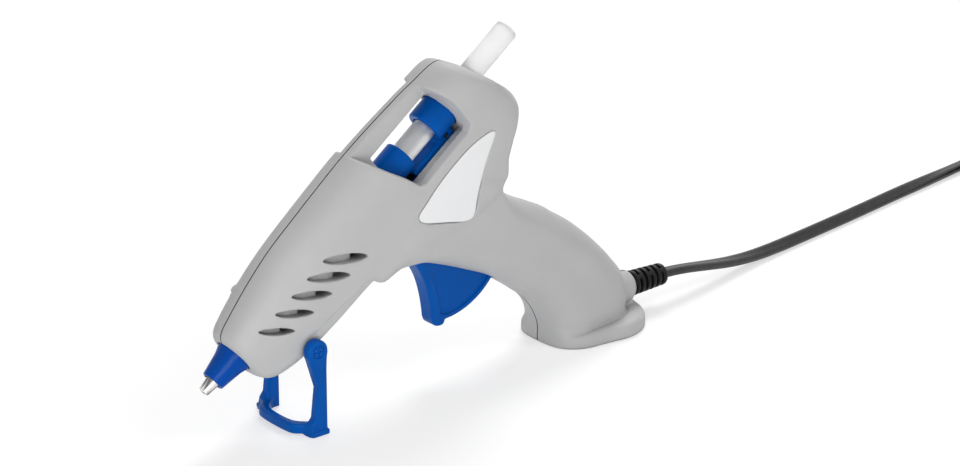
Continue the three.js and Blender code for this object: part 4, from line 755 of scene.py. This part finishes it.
def label_outline(grow=0.0):
    """The label's outline in X and Z, grown outward."""
    points = catmull([(x + SHIFT, z) for x, z in LABEL], 5, closed=True)
    along = np.roll(points, -1, 0) - np.roll(points, 1, 0)
    along /= np.linalg.norm(along, axis=1)[:, None]
    out = np.stack([along[:, 1], -along[:, 0]], 1)
    middle = points.mean(0)
    if np.einsum("ij,ij->i", out, points - middle).mean() < 0:
        out = -out
    return points + out * grow


def vent_line(i):
    """The ends of a vent, along and across the barrel."""
    start = VENT_START + VENT_PITCH * i
    return start, start + (VENT_RUN + VENT_GROWTH * i)


def vent_lens(i, s, n):
    """The field of a lens-shaped slot, and how far along it a point is."""
    start, end = vent_line(i)
    size = np.linalg.norm(end - start)
    way = (end - start) / size
    t = np.linspace(0, 1, 24)
    bulge = VENT_HALF * (1 + VENT_SWELL * i) * (4 * t * (1 - t)) ** VENT_POWER
    across = np.outer(bulge, [-way[1], way[0]])
    middle = start + np.outer(t, end - start)
    lens = outline_field(list(middle + across) + list((middle - across)[::-1][1:-1]), s, n)
    return lens, ((s - start[0]) * way[0] + (n - start[1]) * way[1]) / size


def cross_rod(room, at, radius, low, high, y=None):
    """A rod across the part, or one on each flank where y is the distance from the middle plane."""
    return both(room.about(at) - radius, between(room.y if y is None else y, low, high))


def cord_rod(room, radius, low, high):
    """A rod round the cord's way out, between places behind the grip's front."""
    radial = np.hypot(room.y, room.z - CORD_RISE)
    return both(radial - radius, between(room.x, low + SHIFT, high + SHIFT))


def housing_form(room):
    """Barrel, grip, foot and cord boss in one, with soft joins."""
    barrel, grip = loft_field(room, barrel_rings()), loft_field(room, grip_rings())
    notch = (1 - smoothstep(np.abs(room.y), 4, 12)) * smoothstep(room.x, -20, 0)
    whole = merge(barrel, grip, GRIP_JOIN - GRIP_JOIN_LOSS * notch)
    plate = outline_field(foot_outline(), room.x, room.y)
    slab = between(room.z, -FOOT_THICK, FOOT_THICK)
    over = np.maximum(slab + FOOT_ROUND, 0)
    foot = both(np.hypot(np.maximum(plate + FOOT_ROUND, 0), over) - FOOT_ROUND, slab)
    behind = smoothstep(room.x - SHIFT, 0, 9)
    foot = carve(foot, both(grip - MOAT_WIDTH * behind, MOAT_FLOOR - room.z), 0.3)
    whole = merge(whole, foot, FOOT_JOIN - FOOT_JOIN_LOSS * behind)
    ring = np.hypot(room.y, room.z - CORD_RISE)
    boss = both(ring - BOSS_RADIUS, between(room.x, BOSS_FROM + SHIFT, BOSS_TO + SHIFT), BOSS_ROUND)
    return soften(merge(whole, boss, BOSS_JOIN), 2)


def housing_rooms(room, form, lip, s, n, side, vents):
    """The hollow inside, without what both halves grow inward."""
    surround = both(between(s, WINDOW_FRONT - WALL, WINDOW_REAR + WALL), -(n + WINDOW_FLOOR + WALL))
    rooms = carve(form + WALL, merge(surround, lip - WALL), 1.0)
    for at in SCREWS:
        rooms = carve(rooms, room.about(at) - SCREW_BOSS, 0.8)
    for lens, _ in vents:
        wall = both(lens - VENT_WALL, -form - VENT_REACH)
        rooms = carve(rooms, both(wall, VENT_INSIDE - side))
    rooms = carve(rooms, cross_rod(room, TRIGGER_AT, *HUB, side))
    return carve(rooms, cross_rod(room, STAND_AT, *SEAT, side))


def housing_cuts(form, lip, s, n, side, radial, vents):
    """What is cut from the outside: each a field and the round of its edge."""
    def bore(radius, low, high):
        return both(radial - radius, between(s, low, high))

    def slot(along, across, half):
        return both(between(s, *along), both(between(n, *across), side - half))

    window = slot((WINDOW_FRONT, WINDOW_REAR), (-WINDOW_FLOOR, WINDOW_TOP), WINDOW_HALF)
    shelf = both(n - SHELF_TOP, SHELF_INSIDE - side)
    draft = LIP_DRAFT * (HALF - side) * smoothstep(s, *DRAFT_ALONG)
    cuts = [
        (carve(window, shelf), 0.8),
        (both(lip + draft, RAIL_HALF - side), 0.9),
        (both(outline_field(RECESS, s, n), RECESS_SIDE - side), 0.4),
        (bore(*NOZZLE_BORE), 0.7),
        (bore(*COLLAR_BORE), 0.5),
        (both(bore(*COLLAR_SEAT), 1.6 - lip), None),
        (bore(*FEED_BORE), 0.5),
        (bore(*STICK_BORE), 0.7),
        (slot(*BAR_SLOT), None),
        (slot(*TONGUE_SLOT), 0.4),
    ]
    for lens, share in vents:
        floor = both(-form - VENT_FLOOR - VENT_FALL * share, VENT_INSIDE + 0.9 - side)
        hole = both((VENT_HOLE - share) * HOLE_SCALE, HOLE_INSIDE - side)
        cuts.append((both(lens, np.minimum(floor, hole)), 0.5))
    return cuts


def housing_field(room):
    s, n = room.barrel()
    side = np.abs(room.y)
    radial = np.hypot(n, room.y)
    form = housing_form(room)
    lip = outline_field(LIP, s, n)
    vents = [vent_lens(i, s, n) for i in range(VENT_COUNT)]
    body = carve(form, housing_rooms(room, form, lip, s, n, side, vents))
    for tool, blend in housing_cuts(form, lip, s, n, side, radial, vents):
        body = carve(body, tool, blend)
    x, z = room.x - TRIGGER_AT[0], room.z - TRIGGER_AT[2]
    slot = both(room.about(TRIGGER_AT) - TRIGGER_SLOT_RADIUS, side - TRIGGER_SLOT_HALF)
    body = carve(body, both(slot, both(-TRIGGER_SLOT_BACK - x, z - TRIGGER_SLOT_TOP)), 0.9)
    label = outline_field(label_outline(LABEL_GAP), room.x, room.z)
    body = carve(body, both(label, LABEL_FLOOR - side), 0.25)
    body = carve(body, cord_rod(room, *CORD_WELL))
    body = carve(body, cord_rod(room, *CORD_HOLE), 0.8)
    body = merge(body, cross_rod(room, STAND_AT, *STUD, side))
    body = merge(body, cross_rod(room, SCREWS[0], *PEG), 0.6)
    body = carve(body, cross_rod(room, TRIGGER_AT, *PIN_HOLE))
    for at in SCREWS:
        body = carve(body, cross_rod(room, at, *SCREW_HOLE))
        body = carve(body, cross_rod(room, at, *SCREW_WELL), 0.5)
    return carve(body, room.z, 1.0)


def half_box(name, low, high):
    """A box beyond the housing on all sides but across, where it goes from low to high."""
    corners = [(x, y, z) for x in (-200, 200) for y in (low, high) for z in (-60, 260)]
    faces = [(0, 1, 3, 2), (4, 6, 7, 5), (0, 4, 5, 1), (2, 3, 7, 6), (0, 2, 6, 4), (1, 5, 7, 3)]
    return face_out(make_piece(name, corners, faces))


# Half the gap between the halves, and how far beyond the housing a cutting box reaches
SPLIT, BEYOND_HOUSING = 0.27, 70


def make_housing():
    """Both halves, cut from one mesh at the middle plane."""
    room = Room((-132, -28.8, -3), (124.2, 28.8, 161.4), 0.6)
    whole = field_piece("housing_whole", housing_field(room), room, 0.32)
    for name, low, high, node in (("housing_left", -BEYOND_HOUSING, -SPLIT, "left_shell"),
                                  ("housing_right", SPLIT, BEYOND_HOUSING, "right_shell")):
        half = add_object(name, whole.data.copy())
        tool = half_box("tool", low, high)
        apply_modifier(half, "BOOLEAN", object=tool, operation="INTERSECT", solver="MANIFOLD")
        bpy.data.objects.remove(tool)
        smooth(half, 40)
        dress(half, "gun", "housing", node)
    bpy.data.objects.remove(whole)


# How far the plate's outline grows, and where, from the middle plane outward
PLATE = ((-0.2, 16.72), (0, 16.76), (0, 16.98), (-0.1, 17.09), (-0.3, 17.14), (-0.7, 17.15))


def make_labels():
    """Bare plates, one on each flank."""
    for flank, side in (("left", -1), ("right", 1)):
        rings = []
        for grow, y in PLATE:
            flat = label_outline(grow)
            rings.append(np.stack([flat[:, 0], np.full(len(flat), y * side), flat[:, 1]], 1))
        plate = smooth(skin(f"plate_{flank}", rings), 50)
        dress(plate, "gun", "label", f"label_plate_{flank}")


# Pieces turned about the barrel: name, body, slot, node, the round of corners and its steps, sides,
# and places along the barrel with radii
AXIS = 0.02
TURNED = (
    ("nozzle_tip", "gun", "nozzle", "nozzle", 0.3, 4, 64, [
        (9, 1.8), (4.5, 0.9), (0.25, 0.9), (0, 1.15), (0, 2.2), (0.35, 2.5), (3.2, 2.92), (6.4, 3.45),
        (9, 4), (29.4, 4), (29.7, 5.4), (30.2, 6), (33.2, 6), (33.7, 5.4), (33.9, 3.5), (41.6, 3.5),
        (41.7, 1.8), (9, 1.8)]),
    ("heat_sleeve", "gun", "sleeve", "nozzle_sleeve", 1.1, 6, 96, [
        (6.4, 4.35), (6.4, 5.0), (6.7, 5.5), (17.6, 7.4), (21.2, 8.72), (29.3, 8.75), (29.4, 4.35),
        (18, 4.3), (6.4, 4.35)]),
    ("inlet_ring", "gun", "feed_blue", "inlet_collar", 0.7, 5, 96, [
        (119.2, 9.5), (119.2, 11.2), (127.2, 11.2), (127.2, 8.2), (143.8, 8.2), (143.8, 6.2),
        (123.2, 6.2), (123.2, 9.5), (119.2, 9.5)]),
    ("stick", "stick", "glue", "glue_stick", 0.5, 4, 96, [
        (62, AXIS), (62, 5.0), (62.7, 5.6), (100, 5.58), (140, 5.6), (180, 5.57), (222.9, 5.6),
        (223.8, 4.9), (223.8, AXIS)]),
)


def make_turned():
    for name, body, slot, node, corner, steps, sides, profile in TURNED:
        piece = turned(name, rounded(profile, corner, steps), BARREL_AT, sides=sides)
        dress(piece, body, slot, node)


# The carriage: its box's half width, and from and to across and along the barrel
BAR, JAW_NOTCH = (5, (-11.8, -8.9), (141.5, 169.5)), (3.0, (-12.1, -5.6), (161.4, 169.8))
NECK, TOE = (3.3, (-24, -8.9), (146, 156)), (3.3, (-24, -16), (133.5, 156))
RING_RADIUS, RING_FROM, RING_TO, RING_BORE = 9.3, 160.5, 174, 6.2
DRIVE_HOLE, JAW_HOLE = (137.5, -20, 2.05), (165.5, -9.4, 1.3)


def make_carriage():
    room = Room((139, -11, -26), (176, 11, 11), 0.3)
    radial = np.hypot(room.z, room.y)
    side = np.abs(room.y)

    def box(half, across, along, blend=None):
        return both(both(side - half, between(room.z, *across)), between(room.x, *along), blend)

    ring = both(radial - RING_RADIUS, between(room.x, RING_FROM, RING_TO), 1.2)
    body = merge(merge(ring, box(*BAR, 0.6), 1.2), merge(box(*NECK), box(*TOE), 0.6), 0.6)
    body = carve(carve(body, radial - RING_BORE, 0.5), box(*JAW_NOTCH), 0.2)
    for at, depth, radius in (DRIVE_HOLE, JAW_HOLE):
        body = carve(body, np.hypot(room.x - at, room.z - depth) - radius, 0.2)
    piece = field_piece("feed_slide", body, room, 0.5, from_barrel_room)
    dress(piece, "carriage", "feed_blue", "feed_carriage")


# Trigger, drawn about its pin
REACH = 39.2
ROLL = [(-0.43, -0.12), (-0.36, -0.24), (-0.265, -0.42), (-0.195, -0.65), (-0.155, -0.87),
        (-0.14, -0.985), (-0.105, -1.045), (-0.03, -1.065), (0.025, -1.05), (0.05, -1.0)]
WEB = [(-0.16, -0.36), (-0.06, -0.69), (-0.03, -0.9)]
CROWN = [(0.62, -0.31), (0.24, -0.16), (-0.17, 0.04)]
BLADE_HALF, WEB_HALF, WEB_EDGE, WEB_CORNER = 5, 3.5, 2.4, (0.1, -0.24)
HUB_RADIUS, PIN_BORE = 6.5, 2.3
ARM_DEPTH, ARM_LEAD, ARM_HALF, ARM_SIDE, ARM_TIP = 20, 7, 4.6, 6.3, 4.2
ARM_RISE = -ARM_DEPTH - float((TRIGGER_AT - BARREL_AT) @ ACROSS)
FORK_HALF, FORK_INSIDE, FORK_FROM = 1.75 + 0.35, 3.7, 6.5 + 4


def arc(radius, low=-86, high=-33, count=30):
    turn = np.radians(np.linspace(low, high, count))
    return [(radius * math.cos(a), radius * math.sin(a)) for a in turn]


def trigger_field(room):
    x, z = room.x - TRIGGER_AT[0], room.z - TRIGGER_AT[2]
    side = np.abs(room.y)
    roll = [tuple(p) for p in catmull(np.array(ROLL) * REACH, 5)]
    blade = outline_field(roll + arc(REACH) + [(a * REACH, b * REACH) for a, b in CROWN], x, z)
    hub = np.hypot(x, z) - HUB_RADIUS
    body = both(merge(blade, hub, 2.0), side - BLADE_HALF, 1.6)
    web_line = [tuple(p) for p in catmull(np.array(WEB) * REACH, 5)]
    web_line += arc(REACH - WEB_EDGE) + [tuple(a * REACH for a in WEB_CORNER)]
    web = outline_field(web_line, x, z)
    body = carve(body, both(web, WEB_HALF - side, 0.8), 0.8)
    return body, x, z, side


def trigger_arm(x, z, side):
    """The forked arm that pushes the carriage's drive pin."""
    lean = math.pi / 2 + TILT - math.atan2(ARM_LEAD, ARM_RISE)
    up = x * math.cos(lean) + z * math.sin(lean)
    over = x * math.sin(lean) - z * math.cos(lean)
    stem = both(np.abs(over) - ARM_HALF, between(up, 0, ARM_RISE + ARM_TIP))
    stem = both(stem, side - ARM_SIDE, 0.8)
    fork = between(up, ARM_RISE - FORK_HALF - GAP, ARM_RISE * 2)
    stem = carve(stem, both(np.abs(over) - FORK_HALF, fork), 0.3)
    return carve(stem, both(side - FORK_INSIDE, FORK_FROM - up), 0.3)


def make_trigger():
    room = Room((-36, -7.5, 24), (36, 7.5, 106), 0.35)
    body, x, z, side = trigger_field(room)
    body = merge(body, trigger_arm(x, z, side), 0.6)
    body = carve(body, np.hypot(x, z) - PIN_BORE)
    piece = field_piece("trigger_blade", body, room, 0.4)
    dress(piece, "trigger_unit", "trigger_blue", "trigger")


# Stand, drawn about its pivot
LEG = [(0.124, -0.02), (0.113, -0.24), (0.111, -1), (-0.135, -1), (-0.101, -0.855), (-0.053, -0.795),
       (-0.01, -0.44), (-0.07, -0.24), (-0.127, -0.05)]
# The bar in plan, from its inner edge round to one end
CROSSBAR = [(0.6, 19), (-1, 15.5), (-5.6, 10.6), (-6.8, 6.5), (-6.8, -6.5), (-5.6, -10.6), (-1, -15.5),
            (0.6, -19), (-4.2, -19), (-5.3, -17.6), (-9.8, -13.4), (-10.9, -9)]
LEG_SIDE, BAR_HEIGHT = (16.6, 21.6), (0.6, 5.6)
PAD_ALONG, PAD_SIDE, PAD_HEIGHT = (-5, 4.8), (19.1, 22.8), (0, 2.6)
EYE_RADIUS, STUD_BORE, STUD_END = 5.4, 3.5, 20.5
MARK_RADIUS, MARK_HALF, MARK_FLOOR = 2.9, 0.36, 20.95


def stand_field(room):
    rise = STAND_AT[2]
    x, z = room.x - STAND_AT[0], room.z - rise
    side = np.abs(room.y)
    radial = np.hypot(x, z)
    leg = merge(outline_field([(a * rise, b * rise) for a, b in LEG], x, z), radial - EYE_RADIUS, 1.0)
    leg = both(leg, between(side, *LEG_SIDE), 1.3)
    outline = catmull(CROSSBAR + [(a, -b) for a, b in CROSSBAR[:-5:-1]], 6, closed=True)
    bar = both(outline_field(outline, x, room.y), between(room.z, *BAR_HEIGHT), 1.3)
    pad = both(between(x, *PAD_ALONG), between(side, *PAD_SIDE), 0.8)
    pad = both(pad, between(room.z, *PAD_HEIGHT), 0.8)
    body = both(merge(merge(leg, bar, 1.6), pad, 0.5), -room.z)
    body = carve(body, both(radial - STUD_BORE, side - STUD_END))
    return carve(body, eye_mark(x, z, radial, side), 0.15)


def eye_mark(x, z, radial, side):
    """A plain ring and cross pressed into each eye."""
    ring = np.abs(radial - MARK_RADIUS) - MARK_HALF
    cross = both(np.minimum(np.abs(x), np.abs(z)) - MARK_HALF, radial - MARK_RADIUS)
    return both(np.minimum(ring, cross), MARK_FLOOR - side)


def make_stand():
    room = Room((-103, -24, -1.2), (-82, 24, 48.4), 0.33)
    piece = field_piece("prop_stand", stand_field(room), room, 0.4)
    dress(piece, "stand_unit", "stand_blue", "stand")


# Strain relief, with open slots between its rings. Slots and bridges are given by their halves.
RELIEF_AT, RELIEF_LENGTH, RELIEF_RADIUS, RELIEF_TAPER, TAPER_LENGTH = 58.9, 21.6, 6.5, 0.9, 22
RELIEF_NECK, RELIEF_FLANGE = (4.9, -3.6, 1), (6.4, -6.2, -3.6)
SLOT_START, SLOT_PITCH, SLOT_COUNT, SLOT_HALF, SLOT_FLOOR, BRIDGE_HALF = 3.1, 3.7, 5, 0.75, 4.4, 1.1


def relief_field(room):
    x = room.x - SHIFT - RELIEF_AT
    radial = np.hypot(room.y, room.z - CORD_RISE)
    outer = RELIEF_RADIUS - RELIEF_TAPER * np.clip(x, 0, TAPER_LENGTH) / TAPER_LENGTH
    body = both(radial - outer, between(x, 0, RELIEF_LENGTH), 1.4)
    for radius, low, high in (RELIEF_NECK, RELIEF_FLANGE):
        body = merge(body, both(radial - radius, between(x, low, high)))
    turn = np.arctan2(room.z - CORD_RISE, room.y)
    for i in range(SLOT_COUNT):
        middle = SLOT_START + SLOT_PITCH * i
        away = np.abs(np.sin(turn + math.pi / 4 * (1 + 2 * (i % 2)))) * radial - BRIDGE_HALF
        slot = both(between(x, middle - SLOT_HALF, middle + SLOT_HALF), SLOT_FLOOR - radial)
        body = carve(body, both(slot, -away), 0.5)
    return body


def make_relief():
    room = Room((111.5, -7.5, 7.8), (141.5, 7.5, 22.8), 0.25)
    dress(field_piece("relief", relief_field(room), room, 0.5), "gun", "cord_rubber", "strain_relief")


# The cord's tie and plug
TIE_HALF, TIE_THICK, TIE_OUTSIDE, TIE_INSIDE = 2.45, 0.55, (0.05, 11.55), (0.62, 10.97)


def make_tie():
    """A band round all the windings at one place of the coil."""
    inner, outer = COIL_RADIUS - COIL_PITCH * 1.5, COIL_RADIUS + COIL_PITCH * 1.5
    centre = COIL_START[1] - outer
    at = CORD_AT + COIL_START[0]
    room = Room((at - 4, centre - outer - 1.5, -0.6), (at + 4, centre - inner + 1.5, 12.8), 0.2)
    y, z = room.y - centre, room.z
    box = both(between(y, -outer - TIE_THICK, -inner + TIE_THICK), between(z, *TIE_OUTSIDE), 3.0)
    hole = both(between(y, -outer, -inner), between(z, *TIE_INSIDE), 2.6)
    band = both(carve(box, hole), between(room.x, at - TIE_HALF, at + TIE_HALF), 0.4)
    dress(field_piece("coil_tie", band, room, 0.5), "gun", "tie", "cord_tie")


PIN_SIDE, PIN_WELL_RADIUS, PIN_WELL_FROM = 9.3, 2.3, 33.5
RIB_START, RIB_PITCH, RIB_COUNT, RIB_HALF, RIB_REACH, RIB_FLOOR = 15.5, 2.4, 5, 0.5, 9.5, 6.2


def plug_outline():
    """The plug in plan: narrow at the cord, widest behind the pins."""
    def curve(a, b, c):
        t = np.linspace(0, 1, 10, endpoint=False)[:, None]
        return (1 - t) ** 2 * np.array(a) + 2 * t * (1 - t) * np.array(b) + t * t * np.array(c)
    length, half = PLUG_LENGTH, PLUG_HALF_WIDTH
    low = np.concatenate([
        curve((0, -0.42 * half), (0.3 * length, -0.42 * half), (0.42 * length, -0.86 * half)),
        curve((0.42 * length, -0.86 * half), (0.5 * length, -half), (0.66 * length, -half)),
        [(0.66 * length, -half), (length, -0.82 * half)],
    ])
    return np.concatenate([low, low[::-1] * [1, -1]])


def make_plug():
    start = CORD_AT + COIL_START[0] + TAIL_LENGTH + GAP
    room = Room((start - 1, COIL_START[1] - 18, -0.8), (start + 39, COIL_START[1] + 18, 14.6), 0.33)
    x, y, z = room.x - start, room.y - COIL_START[1], room.z - PLUG_HALF_HEIGHT
    slab = between(room.z, 0.02, 2 * PLUG_HALF_HEIGHT - 0.02)
    body = both(outline_field(plug_outline(), x, y), slab, 4.0)
    for i in range(RIB_COUNT):
        groove = both(np.abs(x - (RIB_START + RIB_PITCH * i)) - RIB_HALF, np.abs(y) - RIB_REACH)
        body = carve(body, both(groove, RIB_FLOOR - np.abs(z)), 0.5)
    for side in (-1, 1):
        hole = np.hypot(y - side * PIN_SIDE, z) - PIN_WELL_RADIUS
        body = carve(body, both(hole, PIN_WELL_FROM - x))
    piece = field_piece("plug", body, room, 0.45)
    return dress(piece, "gun", "plug_rubber", "plug_body"), start


def make_pins(start):
    pins = []
    for name, side in (("pin_1", -1), ("pin_2", 1)):
        at = (start, COIL_START[1] + side * PIN_SIDE, PLUG_HALF_HEIGHT)
        profile = rounded([(34.3, AXIS), (34.3, 2), (56, 2), (57, 1), (57, AXIS)], 0.6)
        pins.append(dress(turned(name, profile, at, (1, 0, 0), 40), "gun", "brass", "plug_" + name))
    return pins


# Screws with a plain cross recess
SHANK_RADIUS, SHANK, HEAD_RADIUS, HEAD = 1.4, (-8.4, 7), 2.88, (6.8, 8.58)
CROSS_HALF, CROSS_REACH, CROSS_FLOOR = 0.36, 1.7, 7.5


def make_screws():
    room = Room((-3.6, -10, -3.6), (3.6, 9.4, 3.6), 0.2)
    radial = np.hypot(room.x, room.z)
    shank = both(radial - SHANK_RADIUS, between(room.y, *SHANK), 0.4)
    head = both(radial - HEAD_RADIUS, between(room.y, *HEAD), 1.0)
    arms = np.minimum(np.abs(room.x), np.abs(room.z)) - CROSS_HALF
    cross = both(arms, both(radial - CROSS_REACH, CROSS_FLOOR - room.y))
    body = carve(merge(shank, head, 0.4), cross, 0.15)
    first = field_piece("screw", body, room, 0.4)
    for i, at in enumerate(SCREWS):
        mesh = first.data.copy()
        mesh.transform(Matrix.Translation(Vector(at * MM)))
        dress(add_object(f"screw_{i + 1}", mesh), "gun", "screws", f"housing_screw_{i + 1}")
    bpy.data.objects.remove(first)


def paint_nodes():
    """The CAD nodes that still show get their slot's material."""
    slots = {part["node"]: part["material_slot"] for part in frame["record"]["subparts"]}
    for name, piece in frame["nodes"].items():
        if piece.hide_render:
            continue
        slot = slots[name]
        look = "cord_skin" if slot == "cord_rubber" else slot
        if not piece.material_slots:
            piece.data.materials.append(materials[look])
        for place in piece.material_slots:
            place.material = materials[look]


# Floor, backdrop and lamps. The backdrop's light goes from low to high toward its bright side.
LEVEL_LOW, LEVEL_HIGH = 0.415, 0.355
BRIGHT_SIDE, BRIGHT_FROM, BRIGHT_TO = (0.55, -0.75, 0.37), -0.8, 0.9
# What the floor shows of its shadows, and what it glows, to rays that see it
FLOOR_SHADE, FLOOR_LIFT = 0.52, 0.56
FLOOR_HALF = 4000
# Name, place, aim and size in metres, and power
LAMPS = (
    ("key", (1.0, 0.9, 1.7), (0, 0, 0.06), 0.9, 23),
    ("fill", (-0.42, -0.46, 0.1), (-0.05, 0, 0.06), 0.35, 1.9),
    ("front", (0.45, -0.7, 1.1), (0.03, 0, 0.08), 0.5, 2.7),
)


def ray_kinds(n):
    """1 for rays that should see the white backdrop itself."""
    path = n.add("LightPath").outputs
    seen = path["Is Camera Ray"]
    for kind in ("Is Glossy Ray", "Is Transmission Ray"):
        seen = n.add("Math", {0: seen, 1: path[kind]}, operation="MAXIMUM").outputs[0]
    return seen


def make_world():
    world = bpy.data.worlds.new("studio")
    bpy.context.scene.world = world
    n = Nodes(world)
    place = n.add("TexCoord").outputs["Generated"]
    way = n.add("VectorMath", {0: place, 1: BRIGHT_SIDE}, operation="DOT_PRODUCT")
    level = n.span(way.outputs["Value"], LEVEL_LOW, LEVEL_HIGH, BRIGHT_FROM, BRIGHT_TO)
    lit = n.add("Background", {"Color": (1, 1, 1, 1), "Strength": level})
    seen = n.add("Background", {"Color": (1, 1, 1, 1), "Strength": 1.0})
    mixed = n.add("MixShader", {0: ray_kinds(n), 1: lit.outputs[0], 2: seen.outputs[0]})
    n.add("OutputWorld", {0: mixed.outputs[0]})


def make_floor():
    half = FLOOR_HALF
    corners = [(-half, -half, 0), (half, -half, 0), (half, half, 0), (-half, half, 0)]
    floor = make_piece("floor", corners, [(0, 1, 2, 3)])
    n = Nodes("floor_white")
    speck = n.span(n.noise(60, 3), 0.0, 1.0)
    base = n.mix(speck, (0.80, 0.80, 0.81, 1), (0.82, 0.82, 0.83, 1))
    plain = n.add("BsdfDiffuse", {"Color": base})
    faint = n.add("BsdfDiffuse", {"Color": (FLOOR_SHADE, FLOOR_SHADE, FLOOR_SHADE, 1)})
    glow = n.add("Emission", {"Color": (1, 1, 1, 1), "Strength": FLOOR_LIFT})
    seen = n.add("AddShader", {0: faint.outputs[0], 1: glow.outputs[0]})
    total = n.add("MixShader", {0: ray_kinds(n), 1: plain.outputs[0], 2: seen.outputs[0]})
    floor.data.materials.append(n.end(total))


def make_lamp(name, at, aim, size, power):
    data = bpy.data.lights.new(name, "AREA")
    data.shape, data.size, data.energy = "DISK", size, power
    lamp = add_object(name, data)
    set_up(lamp, at, Vector(aim) - Vector(at))
    lamp.visible_camera = False


make_camera()
cord, centreline = make_cord()
plug, plug_start = make_plug()
pins = make_pins(plug_start)
make_tie()
make_housing()
make_labels()
make_turned()
make_carriage()
make_trigger()
make_stand()
make_relief()
make_screws()
paint_nodes()
make_world()
make_floor()
for lamp in LAMPS:
    make_lamp(*lamp)
bpy.context.scene.view_settings.view_transform = "Standard"
